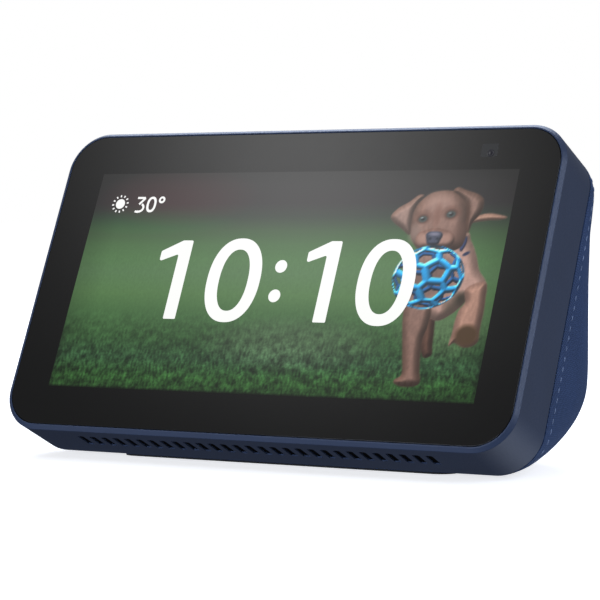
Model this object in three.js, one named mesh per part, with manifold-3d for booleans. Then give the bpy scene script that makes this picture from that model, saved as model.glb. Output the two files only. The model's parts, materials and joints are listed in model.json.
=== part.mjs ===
// A tabletop smart speaker with a touch display: a rounded plastic band holds the glass face,
// which leans back, and a knitted cover wraps the wedge behind it down to a flat base.
// Millimetres. +X is to the right seen from the front, +Y goes back, +Z up, and the origin is
// on the table under the middle of the body.
import * as THREE from "three";
import { mergeVertices } from "three/addons/utils/BufferGeometryUtils.js";
import Module from "manifold-3d";

const wasm = await Module();
wasm.setup();
const radians = THREE.MathUtils.degToRad;

// ---------------------------------------------------------------- driving dimensions
const WIDTH = 148; // across the front face
const FACE_HEIGHT = 86.4; // along the slope of the face
const FACE_TILT = radians(25); // lean of the face back from upright
const FACE_CORNER = 11; // corner radius of the face's outline
const BAND_DEPTH = 16.8; // the plastic band behind the face, square to it
const BAND_WALL = 2;
const BODY_DEPTH = 73; // level, from the glass's bottom edge to the back of the cover
const FOOT_RISE = 1; // the band's lowest edge above the table

const RIM_BEVEL = 1; // sloping part of the rim round the glass ...
const RIM_DROP = 0.9; // ... and how far it falls to the side
const RIM_LAND = 0.3; // flat part of the rim
const FIT = 0.15; // round the glass in its pocket
const GAP = 0.3; // between pieces that rest on each other
const PLAY = 0.3; // round pieces that slide or travel

const GLASS = 1.1; // thicknesses of the display's layers
const TAPE = 0.3;
const LEDGE = 1.2; // shelf of the band that the glass is taped to
const TOUCH = 0.4;
const CELL = 1.2;
const BACKLIGHT = 2;
const BACKPLATE = 0.6;
const DISPLAY_WIDTH = 129.2; // outline of the display module
const DISPLAY_TOP = 33.2; // its edges above and below the middle of the face
const DISPLAY_BOTTOM = 35.2;

const BACK_ROOF = 5.6; // from the seam along the top to the line of the back wall
const BACK_BOTTOM_R = 20; // rounding from the back and sides into the base
const BACK_TOP_R = 14; // rounding from the top into the back, or as much as the roof takes
const BACK_CROWN = 3; // how much the back bows, seen from above
const BACK_CORNER = 6; // radius of the upright corners at the very top ...
const BACK_CORNER_SHARE = 0.5; // ... and how much it grows with the depth at each height
const SIDE_RUN = 30; // length over which the band's corners grow into the base rounding
const FABRIC = 1.2; // thickness of the knitted cover
const SLACK = 0.4; // between the cover and the rear housing
const SHELL_WALL = 2; // rear housing

const SLOT_COUNT = 29; // vents in the band's underside
const SLOT_PITCH = 3.62;
const SLOT_WIDTH = 1.9;
const SLOT_LENGTH = 5.9;
const SLOT_START = 4.6; // behind the face

const BUTTON_PITCH = 16;
const BUTTON_R = 4;
const BUTTON_PROUD = 0.3;
const BUTTON_TRAVEL = 0.5;
const BUTTON_BACK = 9.2; // axes of the controls behind the face
const BUTTON_FLANGE = 0.8; // height of the ring that keeps a button in
const BUTTON_STEM = [0.9, 0.8]; // radius and length
const SWITCH = [4.4, 1.1, 4.4]; // body under each button
const SWITCH_PLUNGER = 0.5;
const MIC_X = 28;
const MIC_HOLE_R = 0.6;
const MIC_SIZE = [3.8, 1.1, 3];
const BUTTON_BOARD = [64, 1, 6.4];

const CAMERA_X = 52.8;
const CAMERA_V = 36.2; // above the middle of the face
const CAMERA_BARREL_R = 2.2;
const CAMERA_SIZE = [6.4, 5, 2.4];
const CAMERA_BOARD_X = [34, 60];
const CAMERA_BOARD = 0.8;
const LIGHT_SENSOR_X = 37;
const LIGHT_SENSOR = [2.4, 2.4, 1.2];
const SHUTTER_TRAVEL = 7;
const KNOB = [8.4, 1.2, 3.6]; // sliding knob on the top of the band
const KNOB_PROUD = 0.6;
const NECK = [2.6, 2];
const BLADE_WIDTH = 7;
const BLADE = 0.5;

const MID_PLATE = 1;
const BOARD = 1.2; // thickness of the circuit boards
const BOARD_SIZE = [96, 54];
const BOARD_V = -3; // middle of the main board above the middle of the face
const BOARD_STANDOFF = 2;
const CHIP = [16, 16, 1.2];
const CHIP_X = -22;
const CHIP_DROP = 4; // the processor's middle below the main board's
const FIN_COUNT = 9;
const HEAT_SINK = [28, 24, 5]; // across, up the face and deep, with its fins
const WIFI_CAN = [26, 20, 2.2];
const WIFI_X = 24;
const ANTENNA = [0.8, 28, 7.4];
const ANTENNA_X = 63;
const FLEX_WIDTH = 20;
const FLEX = 0.3;

const BOX_CLEAR = 0.5; // between the top of the speaker box and the main board
const SPEAKER_R = 20.5; // flange of the driver
const SPEAKER_BACK = 7; // front of the speaker box inside the cover
const BOX_SIZE = [60, 44, 15.5];
const BOX_WALL = 1.5;
const EAR = [34, 10, 2.8]; // where the box's ears sit, and their radius
const CONE_R = 12.6;
const COIL_R = 6.4;
const COIL_WALL = 0.6;
const MAGNET_R = 13.5;
const GRILLE_R = 16;
const GRILLE_PITCH = 6.2;
const GRILLE_HOLE_R = 1.5;

const BASE_SETBACKS = [24, 3, 6]; // its edges inside the body's sides, band and rounding
const BASE_CORNERS = [6, 22]; // front and back corner radii, the back one as much as fits
const FOOT_RUBBER = 0.9;
const BASE_PLATE = 2.4;
const BASE_SCREWS = [[14, 6], [26, 23]]; // from the sides and front of the base plate
const PORT_SIZE = [30, 12]; // panel over the sockets
const PORT_Z = 15.2;
const PORT_POCKET = [26, 7.6, 4.8]; // its pocket across, high and deep
const JACK_X = -7;
const JACK_R = 2.9;
const JACK_SIZE = [9, 11.5, 10.2];
const USB_X = 6.5;
const USB_SIZE = [8, 5.6, 3];
const POWER_BOARD = [38, 24];
const POWER_SETBACK = 7.4; // the power board's back edge in front of the sockets' faces
const TOE = [4, 3.6]; // notch under the sockets, deep and below their middle

// ---------------------------------------------------------------- frames
const sinT = Math.sin(FACE_TILT);
const cosT = Math.cos(FACE_TILT);
const halfW = WIDTH / 2;
const halfH = FACE_HEIGHT / 2;
const rim = RIM_BEVEL + RIM_LAND;
const faceY = -BODY_DEPTH / 2 + (halfH - rim) * sinT;
const faceZ = FOOT_RISE + BAND_DEPTH * sinT + halfH * cosT;

const device = new THREE.Group();
// The face's own frame: X across, Y up the slope, Z out of the glass.
const face = new THREE.Group();
face.position.set(0, faceY, faceZ);
face.rotation.x = Math.PI / 2 - FACE_TILT;
device.add(face);

// ---------------------------------------------------------------- materials
const material = (color, roughness, metalness = 0) =>
  new THREE.MeshStandardMaterial({ color, roughness, metalness });
const navyPlastic = material(0x2c3a55, 0.45);
const innerPlastic = material(0x1d222b, 0.6);
const knit = material(0x2b3f63, 0.95);
const blackGlass = material(0x0b0b0c, 0.08);
const displayFilm = material(0x23402a, 0.3);
const blackPlastic = material(0x141516, 0.55);
const rubber = material(0x1a1b1d, 0.85);
const steel = material(0xb4b7ba, 0.35, 1);
const aluminium = material(0xa9adb1, 0.45, 1);
const boardGreen = material(0x1c4a33, 0.5);
const copper = material(0xb66a3c, 0.4, 1);
const conePaper = material(0x2a2a2b, 0.9);

// ---------------------------------------------------------------- solids
function toSolid(geometry) {
  const loose = geometry.index ? geometry.toNonIndexed() : geometry.clone();
  loose.deleteAttribute("normal");
  loose.deleteAttribute("uv");
  const merged = mergeVertices(loose, 1e-4);
  return new wasm.Manifold(
    new wasm.Mesh({
      numProp: 3,
      vertProperties: merged.attributes.position.array,
      triVerts: new Uint32Array(merged.index.array),
    }),
  );
}

function toGeometry(solid) {
  const mesh = solid.getMesh();
  const geometry = new THREE.BufferGeometry();
  geometry.setAttribute("position", new THREE.BufferAttribute(mesh.vertProperties, 3));
  geometry.setIndex(new THREE.BufferAttribute(mesh.triVerts, 1));
  const flat = geometry.toNonIndexed();
  flat.computeVertexNormals();
  return flat;
}

function add(group, name, solid, look) {
  const mesh = new THREE.Mesh(toGeometry(solid), look);
  mesh.name = name;
  group.add(mesh);
}

const joined = (solids) => solids.reduce((whole, piece) => whole.add(piece));

function block(low, high) {
  const size = high.map((value, k) => value - low[k]);
  const geometry = new THREE.BoxGeometry(...size);
  geometry.translate(...low.map((value, k) => value + size[k] / 2));
  return toSolid(geometry);
}

// A block of the given size with its middle at a place.
const blockAt = (size, middle) =>
  block(middle.map((m, k) => m - size[k] / 2), middle.map((m, k) => m + size[k] / 2));

function roundedRect(width, height, radius, x = 0, y = 0) {
  const shape = new THREE.Shape();
  const [w, h] = [width / 2 - radius, height / 2 - radius];
  shape.absarc(x + w, y + h, radius, 0, Math.PI / 2);
  shape.absarc(x - w, y + h, radius, Math.PI / 2, Math.PI);
  shape.absarc(x - w, y - h, radius, Math.PI, 1.5 * Math.PI);
  shape.absarc(x + w, y - h, radius, 1.5 * Math.PI, 2 * Math.PI);
  shape.closePath();
  return shape;
}

// A flat outline carried from one height to another.
function slab(shape, low, high, curveSegments = 8) {
  const depth = high - low;
  const geometry = new THREE.ExtrudeGeometry(shape, { depth, curveSegments, bevelEnabled: false });
  geometry.translate(0, 0, low);
  return toSolid(geometry);
}

// A profile of [radius, height] points turned round the Y axis, outer side upwards.
function turned(profile, segments = 20) {
  const points = profile.map(([r, y]) => new THREE.Vector2(r, y));
  return toSolid(new THREE.LatheGeometry(points, segments));
}

const disc = (radius, low, high, segments = 20) =>
  turned([[0, low], [radius, low], [radius, high], [0, high]], segments);

const ring = (inner, outer, low, high, segments = 20) =>
  turned([[inner, low], [outer, low], [outer, high], [inner, high], [inner, low]], segments);

// Turns the axis of a round solid from Y to Z.
const upright = (solid) => solid.rotate([90, 0, 0]);

// Rings of equal length joined one to the next, with a fan over each end.
function loft(rings) {
  const count = rings[0].length;
  const middle = (points) =>
    points.reduce((sum, p) => sum.add(p), new THREE.Vector3()).divideScalar(count);
  const all = [...rings.flat(), middle(rings[0]), middle(rings.at(-1))];
  const [bottom, top] = [all.length - 2, all.length - 1];
  const last = (rings.length - 1) * count;
  const index = [];
  for (let k = 0; k < count; k++) {
    const next = (k + 1) % count;
    for (let row = 0; row < last; row += count) {
      index.push(row + k, row + next, row + next + count);
      index.push(row + k, row + next + count, row + k + count);
    }
    index.push(bottom, next, k, top, last + k, last + next);
  }
  const geometry = new THREE.BufferGeometry().setFromPoints(all);
  geometry.setIndex(index);
  return toSolid(geometry);
}

// A round cable along a smooth curve through hand-placed points.
function cable(points, radius) {
  const curve = new THREE.CatmullRomCurve3(points);
  const section = new THREE.Shape();
  section.absarc(0, 0, radius, 0, 2 * Math.PI);
  const steps = Math.ceil(curve.getLength() / (5 * radius));
  return toSolid(new THREE.ExtrudeGeometry(section, { steps, curveSegments: 4, extrudePath: curve }));
}

// Takes a solid made in a group's own frame to the device's frame.
const inFrameOf = (group, solid) => solid
  .rotate([THREE.MathUtils.radToDeg(group.rotation.x), 0, 0])
  .translate(group.position.toArray());

// A pan-head screw standing on its head: the head is under the origin, the shank above it.
function screw(headR, headH, shankR, shankL) {
  const body = turned(
    [[0, -headH], [headR * 0.8, -headH], [headR, -headH * 0.5], [headR, 0], [shankR, 0],
      [shankR, shankL - 0.6], [shankR * 0.5, shankL], [0, shankL]],
    12,
  );
  return upright(body.subtract(disc(headR * 0.4, -headH - 1, -headH * 0.4, 6)));
}

// ---------------------------------------------------------------- front band
const glassW = WIDTH - 2 * rim - 2 * FIT;
const glassH = FACE_HEIGHT - 2 * rim - 2 * FIT;
const glassCorner = FACE_CORNER - rim - FIT;
const tapeFront = -GLASS - GAP;
const ledgeFront = tapeFront - TAPE - GAP;
const ledgeBack = ledgeFront - LEDGE;
const innerW = WIDTH - 2 * BAND_WALL;
const innerH = FACE_HEIGHT - 2 * BAND_WALL;
const wallTop = halfH - BAND_WALL; // inside of the band's top wall
const windowOutline = roundedRect(
  DISPLAY_WIDTH + 1.2, DISPLAY_TOP + DISPLAY_BOTTOM + 2.4, 2, 0, (DISPLAY_TOP - DISPLAY_BOTTOM) / 2 - 0.8,
);
const midFront = tapeFront - TOUCH - CELL - BACKLIGHT - BACKPLATE - 4 * GAP;
const boss = [halfW - 5.8, halfH - 7.7]; // the four corner bosses from the middle of the face
const cornersOf = ([x, y]) => [[-x, -y], [x, -y], [-x, y], [x, y]];
const shutterMiddle = CAMERA_X - SHUTTER_TRAVEL; // knob and blade with the camera open
const buttonXs = [-BUTTON_PITCH, 0, BUTTON_PITCH];

function bandRing(inset, z) {
  const shape = roundedRect(WIDTH - 2 * inset, FACE_HEIGHT - 2 * inset, FACE_CORNER - inset);
  return shape.getPoints(10).slice(0, -1).map((p) => new THREE.Vector3(p.x, p.y, z));
}

function ventCutters() {
  const first = (-(SLOT_COUNT - 1) * SLOT_PITCH) / 2;
  return Array.from({ length: SLOT_COUNT }, (_, k) => blockAt(
    [SLOT_WIDTH, 2 * BAND_WALL, SLOT_LENGTH],
    [first + k * SLOT_PITCH, -halfH + BAND_WALL / 2, -SLOT_START - SLOT_LENGTH / 2],
  ));
}

function controlCutters() {
  const holes = buttonXs.map((x) => disc(BUTTON_R + PLAY, wallTop - 1, halfH + 1).translate([x, 0, 0]));
  for (const side of [-1, 1]) {
    holes.push(disc(MIC_HOLE_R, wallTop - 1, halfH + 1, 8).translate([side * MIC_X, 0, 0]));
  }
  const recess = block(
    [shutterMiddle - KNOB[0] / 2 - PLAY, halfH + KNOB_PROUD - KNOB[1] - PLAY, -KNOB[2] / 2 - PLAY],
    [CAMERA_X + KNOB[0] / 2 + PLAY, halfH + 1, KNOB[2] / 2 + PLAY],
  );
  const slot = block(
    [shutterMiddle - NECK[0] / 2 - PLAY, wallTop - 1, -NECK[1] / 2 - PLAY],
    [CAMERA_X + NECK[0] / 2 + PLAY, halfH, NECK[1] / 2 + PLAY],
  );
  return joined([...holes, recess, slot]).translate([0, 0, -BUTTON_BACK]);
}

function frontFrame() {
  const outer = loft([bandRing(0, -BAND_DEPTH), bandRing(0, -RIM_DROP), bandRing(RIM_BEVEL, 0)]);
  const pocketOutline = roundedRect(glassW + 2 * FIT, glassH + 2 * FIT, glassCorner + FIT);
  const hollowOutline = roundedRect(innerW, innerH, FACE_CORNER - BAND_WALL);
  const cuts = [
    slab(pocketOutline, ledgeFront, 1),
    slab(hollowOutline, -BAND_DEPTH - 1, ledgeBack),
    slab(windowOutline, ledgeBack - 1, 1, 3),
    blockAt([5.2, 5, 4], [CAMERA_X, CAMERA_V, ledgeBack]),
    blockAt([3, 3, 4], [LIGHT_SENSOR_X, CAMERA_V, ledgeBack]),
    controlCutters(),
    ...ventCutters(),
  ];
  const bosses = cornersOf(boss).map(([x, v]) =>
    upright(ring(1.2, 2.4, midFront + GAP, ledgeBack + 0.2, 12)).translate([x, v, 0]));
  const pegs = [-1, 1].map((side) =>
    disc(1.2, wallTop - 4.2, wallTop + 0.2, 10).translate([side * (MIC_X - 4), 0, -BUTTON_BACK]));
  return joined([outer.subtract(joined(cuts)), ...bosses, ...pegs]);
}
add(face, "front_frame", frontFrame(), navyPlastic);

// ---------------------------------------------------------------- glass and display
add(face, "cover_glass", slab(roundedRect(glassW, glassH, glassCorner), -GLASS, 0, 10), blackGlass);
const tapeOutline = roundedRect(glassW - 1, glassH - 1, glassCorner - 0.5);
add(
  face, "glass_tape",
  slab(tapeOutline, tapeFront - TAPE, tapeFront).subtract(joined([
    slab(windowOutline, tapeFront - 1, 0, 3),
    blockAt([6, 5.4, 4], [CAMERA_X, CAMERA_V, tapeFront]),
    blockAt([3.4, 3.4, 4], [LIGHT_SENSOR_X, CAMERA_V, tapeFront]),
  ])),
  blackPlastic,
);

const displayOutline = roundedRect(
  DISPLAY_WIDTH, DISPLAY_TOP + DISPLAY_BOTTOM, 1, 0, (DISPLAY_TOP - DISPLAY_BOTTOM) / 2,
);
const displayLayers = [
  ["touch_sensor", TOUCH, displayFilm],
  ["display_cell", CELL, displayFilm],
  ["backlight_tray", BACKLIGHT, blackPlastic],
  ["display_backplate", BACKPLATE, steel],
];
let layerFront = tapeFront;
for (const [name, thickness, look] of displayLayers) {
  add(face, name, slab(displayOutline, layerFront - thickness, layerFront, 2), look);
  layerFront -= thickness + GAP;
}

// ---------------------------------------------------------------- middle plate and main board
const midBack = midFront - MID_PLATE;
const boardFront = midBack - BOARD_STANDOFF - GAP;
const boardBack = boardFront - BOARD;
const standoff = [BOARD_SIZE[0] / 2 - 4, BOARD_SIZE[1] / 2 - 4];

function midPlate() {
  const plate = slab(roundedRect(innerW - 1.6, innerH - 1.2, 7), midBack, midFront);
  const notches = [
    block([-61, DISPLAY_TOP - 0.8, midBack - 1], [61.5, halfH, midFront + 1]),
    block([-14, -halfH, midBack - 1], [14, -DISPLAY_BOTTOM, midFront + 1]),
  ];
  const holes = cornersOf(boss).map(([x, v]) =>
    upright(disc(1.2, midBack - 1, midFront + 1, 12)).translate([x, v, 0]));
  const posts = cornersOf(standoff).map(([x, v]) =>
    upright(ring(1.1, 2.2, midBack - BOARD_STANDOFF, midBack + 0.2, 12)).translate([x, v + BOARD_V, 0]));
  return joined([plate.subtract(joined([...notches, ...holes])), ...posts]);
}
add(face, "mid_plate", midPlate(), aluminium);
cornersOf(boss).forEach(([x, v], k) => {
  const placed = screw(1.9, 1.1, 0.85, 4).translate([x, v, midBack - GAP]);
  add(face, `frame_screw_${k + 1}`, placed, steel);
});

function mainBoard() {
  const outline = roundedRect(...BOARD_SIZE, 2, 0, BOARD_V);
  const holes = cornersOf(standoff).map(([x, v]) =>
    upright(disc(1.2, boardBack - 1, boardFront + 1, 12)).translate([x, v + BOARD_V, 0]));
  const connectorV = BOARD_V - BOARD_SIZE[1] / 2 + 4;
  const connector = blockAt([FLEX_WIDTH + 2, 3, 2], [0, connectorV, boardBack - 0.8]);
  return slab(outline, boardBack, boardFront, 3).subtract(joined(holes)).add(connector);
}
add(face, "main_board", mainBoard(), boardGreen);
cornersOf(standoff).slice(1, 3).forEach(([x, v], k) => {
  const placed = screw(1.8, 1, 0.8, 3).translate([x, v + BOARD_V, boardBack - GAP]);
  add(face, `board_screw_${k + 1}`, placed, steel);
});

const chipFront = boardBack - GAP;
const sinkFront = chipFront - CHIP[2] - GAP;
const chipV = BOARD_V - CHIP_DROP;
add(face, "processor", blockAt(CHIP, [CHIP_X, chipV, chipFront - CHIP[2] / 2]), blackPlastic);

function heatSink() {
  const [wide, high, deep] = HEAT_SINK;
  const plate = 1.2;
  const pitch = (wide - 1) / (FIN_COUNT - 1);
  const fins = Array.from({ length: FIN_COUNT }, (_, k) => blockAt(
    [0.8, high, deep],
    [(k - (FIN_COUNT - 1) / 2) * pitch, 0, -deep / 2],
  ));
  return joined([blockAt([wide, high, plate], [0, 0, -plate / 2]), ...fins])
    .translate([CHIP_X, chipV, sinkFront]);
}
add(face, "heat_sink", heatSink(), aluminium);

function wifiCan() {
  const [wide, high, deep] = WIFI_CAN;
  const can = blockAt([wide, high, deep], [0, 0, -deep / 2]);
  return can.subtract(blockAt([wide - 1, high - 1, deep], [0, 0, 0.5 - deep / 2]))
    .translate([WIFI_X, BOARD_V, chipFront]);
}
add(face, "wifi_module", wifiCan(), steel);

for (const [name, side] of [["antenna_left", -1], ["antenna_right", 1]]) {
  const middle = [side * ANTENNA_X, 2, midBack - GAP - ANTENNA[2] / 2];
  add(face, name, blockAt(ANTENNA, middle), copper);
}

// The ribbon leaves the bottom of the backlight, turns under the plate and comes up to the board.
function displayFlex() {
  const backlightMiddle = tapeFront - TOUCH - CELL - 2 * GAP - BACKLIGHT / 2;
  const under = -DISPLAY_BOTTOM - 2.2;
  const plugV = BOARD_V - BOARD_SIZE[1] / 2 + 2.5 - GAP;
  const plugN = boardBack - 1;
  const half = FLEX_WIDTH / 2;
  return joined([
    block([-half, under, backlightMiddle - FLEX], [half, -DISPLAY_BOTTOM - GAP, backlightMiddle]),
    block([-half, under - FLEX, plugN - FLEX], [half, under, backlightMiddle]),
    block([-half, under - FLEX, plugN - FLEX], [half, plugV, plugN]),
  ]);
}
add(face, "display_flex", displayFlex(), copper);

// ---------------------------------------------------------------- buttons and microphones
const flangeTop = wallTop - PLAY;
const stemBottom = flangeTop - BUTTON_FLANGE - BUTTON_STEM[1];
const switchTop = stemBottom - BUTTON_TRAVEL - 0.2;
const buttonBoardTop = switchTop - SWITCH_PLUNGER - SWITCH[1] - GAP;

function button(mark) {
  const body = turned([
    [0, stemBottom], [BUTTON_STEM[0], stemBottom], [BUTTON_STEM[0], flangeTop - BUTTON_FLANGE],
    [BUTTON_R + 1, flangeTop - BUTTON_FLANGE], [BUTTON_R + 1, flangeTop], [BUTTON_R, flangeTop],
    [BUTTON_R, halfH + BUTTON_PROUD - 0.3], [BUTTON_R - 0.3, halfH + BUTTON_PROUD],
    [0, halfH + BUTTON_PROUD],
  ]);
  return mark ? body.subtract(mark.translate([0, halfH + BUTTON_PROUD, 0])) : body;
}
const minusMark = blockAt([3, 0.5, 0.7], [0, 0, 0]);
const plusMark = minusMark.add(blockAt([0.7, 0.5, 3], [0, 0, 0]));
const muteMark = ring(1.1, 1.6, -0.25, 0.25, 16);
const buttons = [
  ["mute_button", muteMark],
  ["volume_down_button", minusMark],
  ["volume_up_button", plusMark],
];
buttons.forEach(([name, mark], k) => {
  add(face, name, button(mark).translate([buttonXs[k], 0, -BUTTON_BACK]), navyPlastic);
  const body = block(
    [-SWITCH[0] / 2, switchTop - SWITCH_PLUNGER - SWITCH[1], -SWITCH[2] / 2],
    [SWITCH[0] / 2, switchTop - SWITCH_PLUNGER, SWITCH[2] / 2],
  );
  const plunger = disc(1.4, switchTop - 1, switchTop, 12);
  add(face, `switch_${k + 1}`, body.add(plunger).translate([buttonXs[k], 0, -BUTTON_BACK]), steel);
});
const buttonBoardMiddle = [0, buttonBoardTop - BUTTON_BOARD[1] / 2, -BUTTON_BACK];
add(face, "button_board", blockAt(BUTTON_BOARD, buttonBoardMiddle), boardGreen);
for (const [name, side] of [["mic_left", -1], ["mic_right", 1]]) {
  const body = blockAt(MIC_SIZE, [0, buttonBoardTop + GAP + MIC_SIZE[1] / 2, 0]);
  add(face, name, body.translate([side * MIC_X, 0, -BUTTON_BACK]), steel);
}

// ---------------------------------------------------------------- camera and its shutter
const bladeFront = ledgeBack - GAP;
const bladeBack = bladeFront - BLADE;
const lensFront = bladeBack - GAP;
const cameraFront = lensFront - 0.5;
const cameraBack = cameraFront - CAMERA_SIZE[2];
const cameraBoardFront = cameraBack - GAP;

function shutter() {
  const knobBottom = halfH + KNOB_PROUD - KNOB[1];
  const armBottom = CAMERA_V + CAMERA_SIZE[1] / 2 + 0.6;
  const armTop = wallTop - 0.4;
  const neckBack = -BUTTON_BACK - NECK[1] / 2;
  return joined([
    block([-KNOB[0] / 2, knobBottom, -BUTTON_BACK - KNOB[2] / 2],
      [KNOB[0] / 2, knobBottom + KNOB[1], -BUTTON_BACK + KNOB[2] / 2]),
    block(
      [-NECK[0] / 2, armBottom, neckBack],
      [NECK[0] / 2, knobBottom + 0.1, -BUTTON_BACK + NECK[1] / 2],
    ),
    block([-NECK[0] / 2, armBottom, neckBack], [NECK[0] / 2, armTop, bladeFront]),
    block([-BLADE_WIDTH / 2, CAMERA_V - 2.6, bladeBack], [BLADE_WIDTH / 2, armTop, bladeFront]),
  ]).translate([shutterMiddle, 0, 0]);
}
add(face, "camera_shutter", shutter(), blackPlastic);

const cameraBody = blockAt(CAMERA_SIZE, [0, 0, cameraFront - CAMERA_SIZE[2] / 2])
  .add(upright(disc(CAMERA_BARREL_R, cameraFront - 0.2, lensFront, 20)))
  .subtract(upright(disc(CAMERA_BARREL_R - 0.6, lensFront - 1.4, lensFront + 1, 20)));
add(face, "camera_housing", cameraBody.translate([CAMERA_X, CAMERA_V, 0]), blackPlastic);
const lens = upright(turned([[0, lensFront - 1.1], [1.3, lensFront - 1.1], [1.3, lensFront - 0.5],
  [0.8, lensFront - 0.25], [0, lensFront - 0.2]], 20));
add(face, "camera_lens", lens.translate([CAMERA_X, CAMERA_V, 0]), blackGlass);
add(face, "camera_board", block(
  [CAMERA_BOARD_X[0], CAMERA_V - 2.5, cameraBoardFront - CAMERA_BOARD],
  [CAMERA_BOARD_X[1], CAMERA_V + 2.5, cameraBoardFront],
), boardGreen);
const sensorMiddle = [LIGHT_SENSOR_X, CAMERA_V, cameraBoardFront + GAP + LIGHT_SENSOR[2] / 2];
add(face, "light_sensor", blockAt(LIGHT_SENSOR, sensorMiddle), blackGlass);

// ---------------------------------------------------------------- wedge behind the band
const seam = -BAND_DEPTH - GAP; // front edge of the cover and the housing
const arcY = BODY_DEPTH / 2 - BACK_BOTTOM_R; // middle of the rounding into the base
const arcZ = FOOT_RISE + BACK_BOTTOM_R;
const planeY = (z, n) => faceY + (z - faceZ) * (sinT / cosT) - n / cosT; // the face moved by n
const slopeV = (y, z) => (y - faceY) * sinT + (z - faceZ) * cosT; // height up the slope
const topLineY = (z, inset) => faceY + (halfH - inset - (z - faceZ) * cosT) / sinT;

// Lean of the back wall: it runs from the end of the roof and touches the rounding below.
const backLean = (() => {
  const roofBack = BAND_DEPTH + BACK_ROOF;
  const y = faceY + halfH * sinT + roofBack * cosT - arcY;
  const z = faceZ + halfH * cosT - roofBack * sinT - arcZ;
  return Math.atan2(z, y) - Math.acos(BACK_BOTTOM_R / Math.hypot(y, z));
})();
const [leanSin, leanCos] = [Math.sin(backLean), Math.cos(backLean)];

// Middle of the rounding from the top into the back: its radius inside both straight lines.
const roofTurn = Math.PI / 2 - FACE_TILT - backLean;
const topRadius = Math.min(BACK_TOP_R, BACK_ROOF / Math.tan(roofTurn / 2));
const topArc = (() => {
  const wall = arcY * leanCos + arcZ * leanSin + BACK_BOTTOM_R - topRadius;
  const top = faceY * sinT + faceZ * cosT + halfH - topRadius;
  const turn = leanCos * cosT - leanSin * sinT;
  return { y: (wall * cosT - top * leanSin) / turn, z: (top * leanCos - wall * sinT) / turn };
})();

// Y of the back at a height, for the cover's surface moved inwards by inset.
function backY(z, inset) {
  const low = BACK_BOTTOM_R - inset;
  const high = topRadius - inset;
  if (z < arcZ + low * leanSin) {
    return arcY + Math.sqrt(Math.max(low ** 2 - (z - arcZ) ** 2, 0));
  }
  if (z < topArc.z + high * leanSin) {
    return arcY + low * leanCos - (z - arcZ - low * leanSin) * (leanSin / leanCos);
  }
  if (z < topArc.z + high * cosT) {
    return topArc.y + Math.sqrt(high ** 2 - (z - topArc.z) ** 2);
  }
  return topLineY(z, inset);
}

// How far a quarter round of this radius has drawn in, at a distance from its far edge.
function drawnIn(radius, distance) {
  const left = Math.min(Math.max(radius - distance, 0), radius);
  return radius - Math.sqrt(radius ** 2 - left ** 2);
}

function sideX(y, z, inset) {
  const rise = z - FOOT_RISE - inset;
  const blend = THREE.MathUtils.smoothstep(y, planeY(z, -BAND_DEPTH), planeY(z, -BAND_DEPTH) + SIDE_RUN);
  const bottom = THREE.MathUtils.lerp(
    drawnIn(FACE_CORNER - inset, rise / cosT),
    drawnIn(BACK_BOTTOM_R - inset, rise),
    blend,
  );
  return halfW - inset - bottom - drawnIn(FACE_CORNER - inset, halfH - inset - slopeV(y, z));
}

// The level outline at a height, from the seam, or a reach in front of it, round the back.
function bodyRing(z, inset, reach) {
  const front = planeY(z, seam);
  const back = backY(z, inset);
  const depth = backY(z, 0) - planeY(z, -BAND_DEPTH);
  const crown = Math.min(BACK_CROWN, depth / 10);
  const room = back - crown - front;
  const corner = Math.min(BACK_CORNER + BACK_CORNER_SHARE * depth - inset, 0.9 * room);
  const cornerY = back - crown - corner;
  const half = reach > 0 ? [[sideX(front, z, inset), front - reach]] : [];
  for (let k = 0; k <= 4; k++) {
    const y = front + ((cornerY - front) * k) / 4;
    half.push([sideX(y, z, inset), y]);
  }
  for (let k = 1; k <= 7; k++) {
    const angle = (k / 7) * (Math.PI / 2);
    const y = cornerY + corner * Math.sin(angle);
    half.push([sideX(y, z, inset) - corner * (1 - Math.cos(angle)), y]);
  }
  const flat = half.at(-1)[0];
  for (const share of [0.67, 0.33]) {
    half.push([flat * share, back - crown * share ** 2]);
  }
  const right = half.map(([x, y]) => new THREE.Vector3(x, y, z));
  const left = half.map(([x, y]) => new THREE.Vector3(-x, y, z)).reverse();
  return [...right, new THREE.Vector3(0, back, z), ...left];
}

// The wedge, moved inwards by inset.
function wedge(inset, rows = 16, reach = 0) {
  const bottom = FOOT_RISE + inset;
  const ridge = faceZ + (halfH - inset) * cosT + seam * sinT; // where the seam meets the top
  const top = ridge - 0.35;
  const rings = Array.from({ length: rows + 1 }, (_, k) => {
    const z = bottom + ((top - bottom) * (1 - Math.cos((Math.PI * k) / rows))) / 2;
    return bodyRing(z, inset, reach);
  });
  return loft(rings);
}

// The same carried forwards past the seam, to hollow out a shell that is open there.
const hollow = (inset, rows) => wedge(inset, rows, 2);

const baseHalfWidth = halfW - BASE_SETBACKS[0];
const baseFront = planeY(FOOT_RISE, -BAND_DEPTH) + BASE_SETBACKS[1];
const baseBack = arcY - BASE_SETBACKS[2];
const baseScrews = BASE_SCREWS.flatMap(([fromSide, fromFront]) =>
  [-1, 1].map((side) => [side * (baseHalfWidth - fromSide), baseFront + fromFront]));

// The outline of the base, drawn in by a margin.
function footprint(margin) {
  const near = BASE_CORNERS[0] - margin;
  const far = Math.min(BASE_CORNERS[1], baseBack - baseFront - BASE_CORNERS[0]) - margin;
  const w = baseHalfWidth - margin;
  const shape = new THREE.Shape();
  shape.absarc(w - near, baseFront + margin + near, near, -Math.PI / 2, 0);
  shape.absarc(w - far, baseBack - margin - far, far, 0, Math.PI / 2);
  shape.absarc(far - w, baseBack - margin - far, far, Math.PI / 2, Math.PI);
  shape.absarc(near - w, baseFront + margin + near, near, Math.PI, 1.5 * Math.PI);
  shape.closePath();
  return shape;
}

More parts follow.
